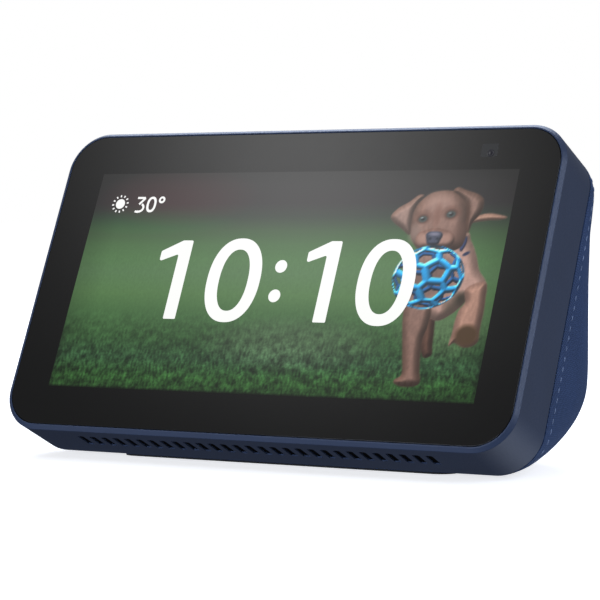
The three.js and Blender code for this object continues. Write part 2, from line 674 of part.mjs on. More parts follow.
const shellInset = FABRIC + SLACK;
const cavityInset = shellInset + SHELL_WALL;
const plateBottom = FOOT_RUBBER + GAP;
const floorBottom = plateBottom + BASE_PLATE + GAP;
const floorTop = floorBottom + SHELL_WALL;
const portY = backY(PORT_Z, 0);
const pocketFloor = portY - 1 - PORT_POCKET[2];
const socketY = pocketFloor - 1.2 - GAP; // faces of the sockets, behind the pocket's floor
const powerBoardTop = floorTop + 1.7 + GAP + BOARD;
const portHole = (grow) => block(
  [-PORT_SIZE[0] / 2 - grow, portY - 8, PORT_Z - PORT_SIZE[1] / 2 - grow],
  [PORT_SIZE[0] / 2 + grow, portY + 8, PORT_Z + PORT_SIZE[1] / 2 + grow],
);
const tub = (grow) => block(
  [-PORT_POCKET[0] / 2 - 1.2 - grow, pocketFloor - 1.2 - grow, PORT_Z - PORT_POCKET[1] / 2 - 1.2 - grow],
  [PORT_POCKET[0] / 2 + 1.2 + grow, portY - 0.5, PORT_Z + PORT_POCKET[1] / 2 + 1.2 + grow],
);

const knitted = wedge(0).subtract(joined([
  hollow(FABRIC),
  slab(footprint(-FIT), 0, floorBottom),
  portHole(FIT),
]));
add(device, "fabric_cover", knitted, knit);

// ---------------------------------------------------------------- rear housing and base
// The speaker's own frame: Z square out of the back wall, Y up along it, zero at the cover.
// It stands as high on the wall as its box's upper edge can, BOX_CLEAR behind the main board.
const speaker = new THREE.Group();
speaker.rotation.x = backLean - Math.PI / 2;
const speakerZ = (() => {
  const wallFoot = [arcY + BACK_BOTTOM_R * leanCos - faceY, arcZ + BACK_BOTTOM_R * leanSin - faceZ];
  const deep = SPEAKER_BACK + BOX_SIZE[2];
  const edgeY = wallFoot[0] - deep * leanCos - (BOX_SIZE[1] / 2) * leanSin;
  const edgeZ = wallFoot[1] - deep * leanSin + (BOX_SIZE[1] / 2) * leanCos;
  const short = boardBack - BOX_CLEAR - (edgeZ * sinT - edgeY * cosT);
  const climb = leanSin * cosT + leanCos * sinT; // towards the face for each mm up the wall
  return faceZ + wallFoot[1] + (short / climb) * leanCos;
})();
speaker.position.set(0, backY(speakerZ, 0), speakerZ);
device.add(speaker);
const earPlaces = [[-EAR[0], EAR[1]], [EAR[0], -EAR[1]]];

function grilleCutters() {
  const holes = [];
  const rows = Math.floor(GRILLE_R / (GRILLE_PITCH * 0.866));
  for (let row = -rows; row <= rows; row++) {
    const shift = (Math.abs(row) % 2) / 2;
    for (let k = -4; k <= 4; k++) {
      const [x, y] = [(k + shift) * GRILLE_PITCH, row * GRILLE_PITCH * 0.866];
      if (Math.hypot(x, y) <= GRILLE_R) {
        holes.push(upright(disc(GRILLE_HOLE_R, -6, 0, 6)).translate([x, y, 0]));
      }
    }
  }
  return holes;
}

function rearHousing() {
  const cuts = [
    hollow(cavityInset, 12),
    slab(footprint(-FIT), 0, floorBottom),
    tub(FIT),
    inFrameOf(speaker, joined(grilleCutters())),
  ];
  const floor = slab(footprint(-2), floorBottom, floorTop);
  const screwPosts = baseScrews.map(([x, y]) =>
    upright(ring(1.1, 2.6, floorTop - 0.2, floorTop + 5, 12)).translate([x, y, 0]));
  const screwHoles = baseScrews.map(([x, y]) =>
    upright(disc(1.1, 0, floorTop + 1, 12)).translate([x, y, 0]));
  const boardPosts = [-1, 1].map((side) =>
    upright(disc(2, floorTop - 0.2, powerBoardTop - BOARD - GAP, 12))
      .translate([side * (POWER_BOARD[0] / 2 - 4), baseBack - 6, 0]));
  const earPost = upright(ring(0.9, 2.4, -SPEAKER_BACK + GAP, -cavityInset - 0.2, 12));
  const earPosts = earPlaces.map(([x, y]) => inFrameOf(speaker, earPost.translate([x, y, 0])));
  return wedge(shellInset).subtract(joined(cuts))
    .add(joined([floor, ...screwPosts, ...boardPosts, ...earPosts]))
    .subtract(joined(screwHoles));
}
add(device, "rear_housing", rearHousing(), innerPlastic);

function basePlate() {
  const plate = slab(footprint(FIT), plateBottom, plateBottom + BASE_PLATE);
  const holes = baseScrews.flatMap(([x, y]) => [
    upright(disc(1.3, 0, 9, 12)).translate([x, y, 0]),
    upright(disc(2.5, 0, plateBottom + 1.5, 12)).translate([x, y, 0]),
  ]);
  return plate.subtract(joined(holes));
}
add(device, "base_plate", basePlate(), blackPlastic);
add(device, "rubber_foot", slab(footprint(1.2), 0, FOOT_RUBBER), rubber);
baseScrews.forEach(([x, y], k) => {
  const placed = screw(2.2, 1.1, 0.8, 6).translate([x, y, plateBottom + 1.2]);
  add(device, `base_screw_${k + 1}`, placed, steel);
});

// ---------------------------------------------------------------- sockets
function portPanel() {
  const body = wedge(0.1);
  const skin = body.subtract(hollow(FABRIC)).intersect(portHole(-FIT));
  const [halfX, halfZ] = [PORT_POCKET[0] / 2, PORT_POCKET[1] / 2];
  const pocket = block(
    [-halfX, pocketFloor, PORT_Z - halfZ],
    [halfX, portY + 5, PORT_Z + halfZ],
  );
  const jackHole = disc(JACK_R + 0.4, pocketFloor - 2, pocketFloor + 1, 16).translate([JACK_X, 0, PORT_Z]);
  const usbHole = blockAt([USB_SIZE[0] + 0.6, 6, USB_SIZE[2] + 0.6], [USB_X, pocketFloor, PORT_Z]);
  return skin.add(tub(0).intersect(body)).subtract(joined([pocket, jackHole, usbHole]));
}
add(device, "port_panel", portPanel(), blackPlastic);

const powerBoardBack = socketY - POWER_SETBACK;
add(device, "power_board", block(
  [-POWER_BOARD[0] / 2, powerBoardBack - POWER_BOARD[1], powerBoardTop - BOARD],
  [POWER_BOARD[0] / 2, powerBoardBack, powerBoardTop],
), boardGreen);

// Clears the housing's rounding under the sockets.
const toe = block(
  [-POWER_BOARD[0] / 2, socketY - TOE[0], 0],
  [POWER_BOARD[0] / 2, portY, PORT_Z - TOE[1]],
);

function dcJack() {
  const low = [JACK_X - JACK_SIZE[0] / 2, socketY - JACK_SIZE[1], powerBoardTop + GAP];
  const body = block(low, low.map((value, k) => value + JACK_SIZE[k]));
  const bore = disc(JACK_R, socketY - 9.5, socketY + 1, 16).translate([JACK_X, 0, PORT_Z]);
  const pin = disc(0.9, socketY - 9.7, socketY - 1, 10).translate([JACK_X, 0, PORT_Z]);
  return body.subtract(joined([bore, toe])).add(pin);
}
add(device, "dc_jack", dcJack(), blackPlastic);

function usbPort() {
  const [wide, deep, high] = USB_SIZE;
  const shell = block(
    [USB_X - wide / 2, socketY - deep, powerBoardTop + GAP],
    [USB_X + wide / 2, socketY, PORT_Z + high / 2],
  );
  const mouth = block(
    [USB_X - wide / 2 + 0.5, socketY - deep + 1, PORT_Z - high / 2 + 0.5],
    [USB_X + wide / 2 - 0.5, socketY + 1, PORT_Z + high / 2 - 0.5],
  );
  const tongue = blockAt([wide - 3, deep - 1, 0.6], [USB_X, socketY - deep / 2, PORT_Z]);
  return shell.subtract(joined([mouth, toe])).add(tongue);
}
add(device, "usb_port", usbPort(), steel);

// ---------------------------------------------------------------- speaker
const boxBack = -SPEAKER_BACK - BOX_SIZE[2];
const flangeBack = -SPEAKER_BACK + GAP;
const flangeFront = flangeBack + 1.2;

function speakerBox() {
  const [wide, high, deep] = BOX_SIZE;
  const outer = slab(roundedRect(wide, high, 4), boxBack, -SPEAKER_BACK, 4);
  const inner = slab(
    roundedRect(wide - 2 * BOX_WALL, high - 2 * BOX_WALL, 3),
    boxBack + BOX_WALL, -SPEAKER_BACK - BOX_WALL, 3,
  );
  const mouth = upright(disc(SPEAKER_R - 2.5, -deep, 0));
  const ears = earPlaces.map(([x, y]) => {
    const web = blockAt([10, 2 * EAR[2], BOX_WALL], [x - Math.sign(x) * 5, y, BOX_WALL / 2]);
    return web.add(upright(disc(EAR[2], 0, BOX_WALL, 16)).translate([x, y, 0]))
      .subtract(upright(disc(1.1, -1, 9, 12)).translate([x, y, 0]))
      .translate([0, 0, -SPEAKER_BACK - BOX_WALL]);
  });
  return outer.add(joined(ears)).subtract(joined([inner, mouth]));
}
add(speaker, "speaker_box", speakerBox(), blackPlastic);
earPlaces.forEach(([x, y], k) => {
  const placed = screw(2, 1.1, 0.6, 3.4).translate([x, y, -SPEAKER_BACK - BOX_WALL - GAP]);
  add(speaker, `speaker_screw_${k + 1}`, placed, steel);
});

const gasketBack = flangeFront + GAP;
const gasket = ring(SPEAKER_R - 3, SPEAKER_R, gasketBack, gasketBack + 0.8);
add(speaker, "speaker_gasket", upright(gasket), rubber);

const magnetFront = -14;
function speakerBasket() {
  const seat = CONE_R + 1;
  const shell = turned([
    [MAGNET_R - 3, magnetFront + GAP], [MAGNET_R - 1, magnetFront + GAP], [SPEAKER_R - 3, flangeBack],
    [SPEAKER_R, flangeBack], [SPEAKER_R, flangeFront], [seat + 2.4, flangeFront],
    [seat + 2.4, flangeBack + 0.2], [MAGNET_R - 3, magnetFront + GAP + 0.9],
    [MAGNET_R - 3, magnetFront + GAP],
  ]);
  const windows = [0, 60, 120].map((angle) =>
    blockAt([60, 5, 7], [0, -11, 0])
      .rotate([0, angle, 0])
      .intersect(ring(6, SPEAKER_R - 3.5, -12.6, -8.6)));
  return upright(shell.subtract(joined(windows)));
}
add(speaker, "speaker_basket", speakerBasket(), steel);

function speakerMagnet() {
  const body = disc(MAGNET_R, magnetFront - 5.6, magnetFront);
  const slot = ring(COIL_R - COIL_WALL - PLAY, COIL_R + PLAY, magnetFront - 4.4, magnetFront + 1);
  return upright(body.subtract(slot));
}
add(speaker, "speaker_magnet", speakerMagnet(), steel);

const surroundIn = CONE_R + GAP;
const surroundOut = CONE_R + 3.1;
add(speaker, "speaker_surround", upright(turned([
  [surroundIn, flangeBack + 0.4], [surroundOut, flangeBack + 0.4], [surroundOut, flangeBack + 0.9],
  [surroundOut - 0.9, flangeBack + 1.3], [surroundIn + 0.9, flangeBack + 1.3],
  [surroundIn, flangeBack + 0.9], [surroundIn, flangeBack + 0.4],
])), rubber);
add(speaker, "speaker_cone", upright(turned([
  [0, -9.8], [4.6, -10.9], [COIL_R, -11.2], [CONE_R, flangeBack + 0.2], [CONE_R, flangeBack + 0.8],
  [COIL_R, -10.5], [4.6, -10.1], [0, -9.1],
])), conePaper);
add(speaker, "voice_coil", upright(ring(COIL_R - COIL_WALL, COIL_R, -16.6, -11.5)), copper);

// ---------------------------------------------------------------- cables
device.updateMatrixWorld(true);
const fromFace = (x, v, n) => face.localToWorld(new THREE.Vector3(x, v, n));
const fromSpeaker = (x, y, z) => speaker.localToWorld(new THREE.Vector3(x, y, z));
add(device, "speaker_cable", cable([
  fromSpeaker(20, -8, boxBack - GAP), fromSpeaker(20, -9, boxBack - 3),
  fromFace(27, -15, -20), fromFace(28, -20, -14), fromFace(28, -20.5, boardBack - GAP),
], 0.8), blackPlastic);
add(device, "power_cable", cable([
  new THREE.Vector3(10, baseBack - 3, powerBoardTop + GAP),
  new THREE.Vector3(10, baseBack - 3.4, powerBoardTop + 3),
  fromFace(8, -24, -17), fromFace(8, -20.4, -14), fromFace(8, -20, boardBack - GAP),
], 1), blackPlastic);

export default device;
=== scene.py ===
import json
import math

import bmesh
import bpy
import numpy as np
from mathutils import Matrix, Vector


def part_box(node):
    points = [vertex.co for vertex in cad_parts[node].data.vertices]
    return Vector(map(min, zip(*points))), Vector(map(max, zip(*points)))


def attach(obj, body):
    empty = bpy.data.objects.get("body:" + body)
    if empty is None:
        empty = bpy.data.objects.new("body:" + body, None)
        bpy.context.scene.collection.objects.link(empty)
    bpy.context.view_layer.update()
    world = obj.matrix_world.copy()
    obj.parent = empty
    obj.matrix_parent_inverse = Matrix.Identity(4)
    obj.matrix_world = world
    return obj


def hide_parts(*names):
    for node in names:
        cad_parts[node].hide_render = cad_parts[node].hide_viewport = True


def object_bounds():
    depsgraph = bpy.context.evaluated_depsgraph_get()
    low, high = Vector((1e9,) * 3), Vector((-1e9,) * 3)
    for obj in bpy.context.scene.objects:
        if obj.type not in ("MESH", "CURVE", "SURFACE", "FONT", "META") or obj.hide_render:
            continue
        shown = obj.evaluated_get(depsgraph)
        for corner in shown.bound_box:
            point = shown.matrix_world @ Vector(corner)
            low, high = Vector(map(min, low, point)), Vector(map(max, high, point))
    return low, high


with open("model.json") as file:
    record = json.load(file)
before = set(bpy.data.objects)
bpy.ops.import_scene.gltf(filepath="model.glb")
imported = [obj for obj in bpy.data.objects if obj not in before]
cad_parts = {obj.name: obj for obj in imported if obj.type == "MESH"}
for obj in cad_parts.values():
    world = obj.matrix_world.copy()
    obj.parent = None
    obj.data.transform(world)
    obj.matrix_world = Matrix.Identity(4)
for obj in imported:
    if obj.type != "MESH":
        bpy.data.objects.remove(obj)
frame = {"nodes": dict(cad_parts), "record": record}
cad_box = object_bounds()

# A smart speaker: a navy band holds the leaning glass, and a knitted wedge stands behind it.
# Lengths are in millimetres until a mesh is made.
MM = 0.001
TILT = math.radians(25)
SIN_T = math.sin(TILT)
COS_T = math.cos(TILT)

FACE_WIDTH = 148.0
FACE_HEIGHT = 86.4
FACE_CORNER = 11.0
BAND_DEPTH = 16.8
BAND_WALL = 2.0
RIM_DROP = 0.9
RIM_BEVEL = 1.0
RIM = 1.3
GLASS_FIT = 0.15
GLASS_THICK = 1.1
GAP = 0.3
LEDGE = -GLASS_THICK - 3 * GAP
LEDGE_THICK = 1.2
LEDGE_REACH = 5.5

ROOF = 5.6
LOW_R = 20.0
HIGH_R = 14.0
CROWN = 3.0
BACK_CORNER = 6.0
BACK_CORNER_SHARE = 0.5
SIDE_RUN = 30.0
FOOT_RISE = 1.0
COVER = 1.2
PANEL = (30.3, 12.3, 15.2)

SLOT_COUNT = 29
SLOT_PITCH = 3.62
SLOT_SIZE = (1.9, 5.9)
SLOT_START = 4.6
# How far under the lower wall's surface the near-black sheets of painted vent shade stand.
VENT_SHADE_DROP = 0.35
OVERCUT = 1.0
BUTTON_PITCH = 16.0
BUTTON_R = 4.0
BUTTON_PROUD = 0.3
CONTROL_LINE = 9.2
MIC_X = 28.0
MIC_R = 0.6
SHUTTER_X = 45.8
SHUTTER_TRAVEL = 7.0
KNOB = (8.4, 1.2, 3.6)
KNOB_PROUD = 0.6
NECK = (2.6, 2.0)
PLAY = 0.3

PICTURE = (123.6, 61.8)
PICTURE_MIDDLE = (0.34, -0.28)
PICTURE_CELL = 0.3
PICTURE_LIFT = 0.015
GARDEN_SEED = 11
WINDOW = (52.9, 35.95)
WINDOW_SIZE = (4.4, 3.6)
LENS_SHIFT = (0.5, -0.8)
FIGURE_LOW = 0.02
FIGURE_HIGH = 0.035
MARK_LOW = 0.1
MARK_HIGH = 0.26

# The glass's box is the same above and below its middle, so its middle gives the face's place.
glass_low, glass_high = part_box("cover_glass")
glass_middle = (glass_low + glass_high) / 2 / MM
FACE_Y = glass_middle.y - COS_T * GLASS_THICK / 2
FACE_Z = glass_middle.z + SIN_T * GLASS_THICK / 2
HALF_W = FACE_WIDTH / 2
HALF_H = FACE_HEIGHT / 2
HALF_DEPTH = cad_box[1].y / MM


# ------------------------------------------------------------------ places and meshes
def on_face(points):
    """Points given across the face, up its slope and out of the glass, in the row's frame.
    The slope leans back by the tilt, so up and out are turned about X by it."""
    u, v, n = points[..., 0], points[..., 1], points[..., 2]
    y = FACE_Y + v * SIN_T - n * COS_T
    z = FACE_Z + v * COS_T + n * SIN_T
    return np.stack([u, y, z], -1)


def on_top_wall(points):
    """Points given across, back from the controls' line and up from the band's top wall."""
    across, back, up = points[..., 0], points[..., 1], points[..., 2]
    return on_face(np.stack([across, HALF_H + up, -CONTROL_LINE - back], -1))


def put(part, where):
    """A set of points and faces, with its points put in the row's frame by one of the two above."""
    return where(part[0]), part[1]


def rounded(corners, steps=5):
    """A closed outline through [a, b, radius] corners, each turned with an arc of its radius.
    An arc runs between the points where a circle of that radius touches the corner's two sides."""
    c = np.array(corners, float)
    at = c[:, :2]
    before = np.roll(at, 1, 0) - at
    after = np.roll(at, -1, 0) - at
    before /= np.linalg.norm(before, axis=1)[:, None]
    after /= np.linalg.norm(after, axis=1)[:, None]
    half = np.arccos(np.clip((before * after).sum(1), -1, 1)) / 2
    run = c[:, 2] / np.tan(half)
    bisector = before + after
    bisector /= np.linalg.norm(bisector, axis=1)[:, None]
    middle = at + bisector * (c[:, 2] / np.sin(half))[:, None]
    start = at + before * run[:, None] - middle
    end = at + after * run[:, None] - middle
    share = np.linspace(0, 1, steps + 1)[None, :, None]
    arc = start[:, None] * (1 - share) + end[:, None] * share
    length = np.linalg.norm(arc, axis=-1, keepdims=True)
    arc *= c[:, 2][:, None, None] / np.maximum(length, 1e-9)
    return (middle[:, None] + arc).reshape(-1, 2)


def corner_path(corners, steps=24):
    """An outline as arc centres, outward directions and radii, one entry for each point.
    Each [x, y, radius] corner is turned through a quarter, first the one at +x +y."""
    turn = np.linspace(0, math.pi / 2, steps + 1)
    angle = (turn[None] + np.arange(4)[:, None] * math.pi / 2).ravel()
    c = np.repeat(np.array(corners, float), steps + 1, 0)
    return c[:, :2], np.stack([np.cos(angle), np.sin(angle)], -1), c[:, 2]


def rectangle_path(width, height, radius, middle=(0, 0), steps=24):
    """The corner path of a rectangle with four equal corners."""
    x, y = width / 2 - radius, height / 2 - radius
    signs = ((1, 1), (-1, 1), (-1, -1), (1, -1))
    return corner_path([(middle[0] + sx * x, middle[1] + sy * y, radius) for sx, sy in signs], steps)


def carried(path, profile):
    """A profile of [inset, height] points carried along a corner path.
    A point is its arc's centre plus the outward direction times the radius less the inset."""
    centre, out, radius = path
    inset, height = profile[:, 0][:, None, None], profile[:, 1][:, None, None]
    flat = centre[None] + out[None] * (radius[None, :, None] - inset)
    return np.concatenate([flat, np.broadcast_to(height, flat.shape[:2] + (1,))], -1)


def grid_faces(rows, columns, round_rows=False, round_columns=False, first=0):
    """Four-sided faces between neighbouring rows and columns of a grid of points."""
    r = np.arange(rows if round_rows else rows - 1)[:, None]
    c = np.arange(columns if round_columns else columns - 1)[None]
    r2, c2 = (r + 1) % rows, (c + 1) % columns
    corners = [r * columns + c, r * columns + c2, r2 * columns + c2, r2 * columns + c]
    return (np.stack(corners, -1).reshape(-1, 4) + first).tolist()


def tube_faces(rows, columns):
    """Faces round a closed tube of rows of points, and one face over each of its ends."""
    last = (rows - 1) * columns
    ends = [list(range(columns))[::-1], list(range(last, last + columns))]
    return grid_faces(rows, columns, round_columns=True) + ends


def slab(path, low, high, edge, steps=4):
    """Points and faces of a flat solid on a corner path, with both its edges rounded.
    The profile is a quarter circle, the side and a quarter circle, and a face caps each end."""
    turn = np.linspace(0, math.pi / 2, steps + 1)
    lower = np.stack([edge * (1 - np.sin(turn)), low + edge * (1 - np.cos(turn))], -1)
    upper = np.stack([edge * (1 - np.cos(turn)), high - edge * (1 - np.sin(turn))], -1)
    points = carried(path, np.concatenate([lower, upper]))
    return points.reshape(-1, 3), tube_faces(*points.shape[:2])


def turned(profile, segments=64):
    """Points and faces of a [radius, height] profile turned about the height, closed at its poles."""
    angle = np.arange(segments) * 2 * math.pi / segments
    radius, height = np.array(profile, float).T
    x = radius[:, None] * np.cos(angle)
    y = radius[:, None] * np.sin(angle)
    points = np.stack([x, y, np.broadcast_to(height[:, None], x.shape)], -1)
    faces = grid_faces(len(radius), segments, round_columns=True)
    return points.reshape(-1, 3), faces


def ribbon(line, width, low, high):
    """Points and faces of a flat stroke: a rectangle carried along an open line in the plane.
    Its sides stand off the line along the line's normal by half the width."""
    line = np.array(line, float)
    along = np.gradient(line, axis=0)
    along /= np.linalg.norm(along, axis=1)[:, None]
    side = np.stack([-along[:, 1], along[:, 0]], -1) * width / 2
    left, right = line + side, line - side
    ring = [(left, low), (right, low), (right, high), (left, high)]
    points = np.stack([np.c_[p, np.full(len(p), h)] for p, h in ring], 1)
    return points.reshape(-1, 3), tube_faces(len(line), 4)


def together(parts):
    """Several sets of points and faces as one."""
    points, faces, count = [], [], 0
    for p, f in parts:
        points.append(p)
        faces += [[k + count for k in face] for face in f]
        count += len(p)
    return np.concatenate(points), faces


def moved(part, x, y, z=0.0):
    """A set of points and faces moved."""
    return part[0] + np.array([x, y, z]), part[1]


def piece(name, part, look, sharp=30.0, closed=True):
    """A mesh object of points in mm and faces, smooth except across edges over an angle."""
    mesh = bpy.data.meshes.new(name)
    mesh.from_pydata((part[0] * MM).tolist(), [], part[1])
    if closed:
        work = bmesh.new()
        work.from_mesh(mesh)
        bmesh.ops.remove_doubles(work, verts=work.verts, dist=1e-7)
        bmesh.ops.recalc_face_normals(work, faces=work.faces)
        work.to_mesh(mesh)
        work.free()
    made = bpy.data.objects.new(name, mesh)
    bpy.context.scene.collection.objects.link(made)
    mesh.materials.append(look)
    soften(made, sharp)
    return made


def soften(made, sharp):
    """Smooth shading, with sharp edges where two faces meet over an angle in degrees. Large flat
    faces keep their own direction, so only the small ones beside them bend the light."""
    mesh = made.data
    mesh.polygons.foreach_set("use_smooth", np.ones(len(mesh.polygons), bool))
    mesh.set_sharp_from_angle(angle=math.radians(sharp))
    even = made.modifiers.new("even normals", "WEIGHTED_NORMAL")
    even.keep_sharp = True


def applied(made):
    """Keeps the result of a piece's modifiers as its own mesh."""
    bpy.context.view_layer.update()
    whole = made.evaluated_get(bpy.context.evaluated_depsgraph_get())
    made.data = bpy.data.meshes.new_from_object(whole)
    made.modifiers.clear()


def cut(made, part, sharp=30.0):
    """Takes a closed solid out of a piece, and keeps the result as the piece's own mesh."""
    tool = piece("cutter", part, made.data.materials[0])
    tool.modifiers.clear()
    made.modifiers.clear()
    step = made.modifiers.new("cut", "BOOLEAN")
    step.object = tool
    step.solver = "EXACT"
    applied(made)
    bpy.data.objects.remove(tool)
    soften(made, sharp)


def smooth_loop(points, steps=6):
    """A closed curve through points: between two of them it is the cubic that leaves each one
    parallel to the line between its neighbours."""
    p = np.array(points, float)
    before, after, beyond = np.roll(p, 1, 0), np.roll(p, -1, 0), np.roll(p, -2, 0)
    t = (np.arange(steps) / steps)[None, :, None]
    p, before, after, beyond = (a[:, None] for a in (p, before, after, beyond))
    curve = 2 * p + (after - before) * t
    curve = curve + (2 * before - 5 * p + 4 * after - beyond) * t**2
    curve = curve + (3 * p - before - 3 * after + beyond) * t**3
    return (curve / 2).reshape(-1, 2)


# ------------------------------------------------------------------ materials
def shares(code):
    """The three sRGB shares of a hex code."""
    return np.array([int(code[k:k + 2], 16) for k in (1, 3, 5)]) / 255


def to_linear(values):
    """sRGB shares as linear ones."""
    return np.where(values <= 0.04045, values / 12.92, ((values + 0.055) / 1.055) ** 2.4)


def linear(code):
    """The linear colour of an sRGB hex code."""
    return (*to_linear(shares(code)), 1.0)


def node(tree, kind, settings=None, inputs=None):
    """Adds a node with its settings, and gives each input a value or a link."""
    made = tree.nodes.new(kind)
    for key, value in (settings or {}).items():
        setattr(made, key, value)
    for key, value in (inputs or {}).items():
        if isinstance(value, bpy.types.NodeSocket):
            tree.links.new(value, made.inputs[key])
        else:
            made.inputs[key].default_value = value
    return made


def start(name):
    """An empty material and its node tree."""
    look = bpy.data.materials.new(name)
    look.use_nodes = True
    look.node_tree.nodes.clear()
    return look, look.node_tree


def finish_look(look, inputs):
    """Closes a material with one Principled surface, and returns it."""
    surface = node(look.node_tree, "ShaderNodeBsdfPrincipled", None, inputs)
    node(look.node_tree, "ShaderNodeOutputMaterial", None, {"Surface": surface.outputs[0]})
    return look


def two_tones(tree, place, scale, dark, light, detail=2.0, rough=0.5):
    """A noise over a place, and a colour that drifts between two tones with it."""
    noise = node(tree, "ShaderNodeTexNoise", None, {
        "Vector": place, "Scale": scale, "Detail": detail, "Roughness": rough,
    })
    tone = node(tree, "ShaderNodeMix", {"data_type": "RGBA"}, {
        0: noise.outputs[0], 6: linear(dark), 7: linear(light),
    })
    return noise.outputs[0], tone.outputs[2]


def relief(tree, height, reach, roughness, spread, strength, depth):
    """What a height does to a surface, as inputs of its shader. Over its reach about a half it
    spreads the roughness, and its slopes bend the light as if it stood up by a depth in mm."""
    gloss = node(tree, "ShaderNodeMapRange", None, {
        "Value": height, "From Min": 0.5 - reach, "From Max": 0.5 + reach,
        "To Min": roughness - spread, "To Max": roughness + spread,
    })
    bump = node(tree, "ShaderNodeBump", None, {
        "Height": height, "Strength": strength, "Distance": depth * MM,
    })
    return {"Roughness": gloss.outputs[0], "Normal": bump.outputs[0]}


def grained(name, dark, light, roughness, grain, depth, mottle=18.0, **fixed):
    """A surface with a colour that drifts between two tones, and a fine grain in its height.
    grain and mottle are sizes in mm, and depth is how far the grain stands up, in mm."""
    look, tree = start(name)
    place = node(tree, "ShaderNodeTexCoord").outputs["Object"]
    tone = two_tones(tree, place, 1 / (mottle * MM), dark, light, 3.0, 0.6)[1]
    fine = node(tree, "ShaderNodeTexNoise", None, {
        "Vector": place, "Scale": 1 / (grain * MM), "Detail": 2.0, "Roughness": 0.55,
    })
    worn = relief(tree, fine.outputs[0], 0.2, roughness, 0.05, 1.0, depth)
    return finish_look(look, {"Base Color": tone, **worn, **fixed})


def brushed(name, dark, light, roughness, stretch, pitch=0.25):
    """A metal with fine lines along one direction, from a noise stretched along it."""
    look, tree = start(name)
    place = node(tree, "ShaderNodeTexCoord").outputs["Object"]
    size = [1 / (pitch * MM * s) for s in stretch]
    scaled = node(tree, "ShaderNodeMapping", None, {"Vector": place, "Scale": size})
    lines, tone = two_tones(tree, scaled.outputs[0], 1.0, dark, light, 3.0, 0.6)
    worn = relief(tree, lines, 0.25, roughness, 0.08, 0.4, 0.01)
    return finish_look(look, {"Base Color": tone, "Metallic": 1.0, **worn})


def knitted(name):
    """Polyester knit: ribs of yarn run slantwise and each one is beaded by its stitches.
    The height is one wave across the ribs times one along them, from the cover's own map in mm. Its low
    places are coloured darker, as painted shade in the crevices between the yarns."""
    look, tree = start(name)
    place = node(tree, "ShaderNodeUVMap", {"uv_map": "yarn"}).outputs[0]
    waves = []
    for way, scale, twist, detail in (("DIAGONAL", KNIT_RIB, 0.6, 1.5), ("Y", KNIT_BEAD, 0.4, 2.0)):
        wave = node(tree, "ShaderNodeTexWave", {"bands_direction": way, "wave_profile": "SIN"}, {
            "Vector": place, "Scale": scale, "Distortion": twist, "Detail": 1.0,
            "Detail Scale": detail,
        })
        waves.append(wave.outputs["Fac"])
    ribs, beads = waves
    fuzz = node(tree, "ShaderNodeTexNoise", None, {
        "Vector": place, "Scale": 4.0, "Detail": 3.0, "Roughness": 0.7,
    })
    drift = node(tree, "ShaderNodeTexNoise", None, {
        "Vector": place, "Scale": 0.05, "Detail": 2.0, "Roughness": 0.5,
    })
    height = node(tree, "ShaderNodeMath", {"operation": "MULTIPLY_ADD"}, {
        0: beads, 1: 0.45, 2: ribs,
    })
    height = node(tree, "ShaderNodeMath", {"operation": "MULTIPLY_ADD"}, {
        0: fuzz.outputs[0], 1: 0.5, 2: height.outputs[0],
    })
    # Low heights take the darker end of this ramp: painted shade in the crevices, with the yarns' tops
    # lighter.
    tone = node(tree, "ShaderNodeValToRGB", None, {0: node(tree, "ShaderNodeMapRange", None, {
        "Value": height.outputs[0], "From Min": 0.35, "From Max": 1.6,
    }).outputs[0]})
    crevice_shade_ramp = tone.color_ramp
    crevice_shade_ramp.elements[0].color = linear("#273859")
    crevice_shade_ramp.elements[1].color = linear("#40567f")
    crevice_shade_ramp.elements.new(0.5).color = linear("#33476d")
    shade = node(tree, "ShaderNodeMapRange", None, {
        "Value": drift.outputs[0], "From Min": 0.3, "From Max": 0.7, "To Min": 0.9, "To Max": 1.08,
    })
    toned = node(tree, "ShaderNodeVectorMath", {"operation": "SCALE"}, {
        0: tone.outputs[0], "Scale": shade.outputs[0],
    })
    bump = node(tree, "ShaderNodeBump", None, {
        "Height": height.outputs[0], "Strength": 0.8, "Distance": 0.1 * MM,
    })
    return finish_look(look, {
        "Base Color": toned.outputs[0], "Roughness": 0.85, "Specular IOR Level": 0.25,
        "Sheen Weight": 0.35, "Sheen Roughness": 0.4, "Sheen Tint": linear("#8ea6d0"),
        "Normal": bump.outputs[0],
    })


def glassy(name, dark, light, roughness):
    """Polished glass over black print: faint wipe marks change its gloss, and its colour hardly."""
    look, tree = start(name)
    place = node(tree, "ShaderNodeTexCoord").outputs["Object"]
    wipe, tone = two_tones(tree, place, 1 / (30 * MM), dark, light, 4.0, 0.65)
    gloss = node(tree, "ShaderNodeMapRange", None, {
        "Value": wipe, "From Min": 0.3, "From Max": 0.7,
        "To Min": roughness, "To Max": roughness + 0.03,
    })
    return finish_look(look, {"Base Color": tone, "Roughness": gloss.outputs[0], "IOR": 1.5})


def lit(look, colour):
    """Closes the material of something that shines through the glass."""
    return finish_look(look, {
        "Base Color": linear("#050505"), "Roughness": 0.05, "IOR": 1.5,
        "Emission Color": colour, "Emission Strength": 1.0,
    })


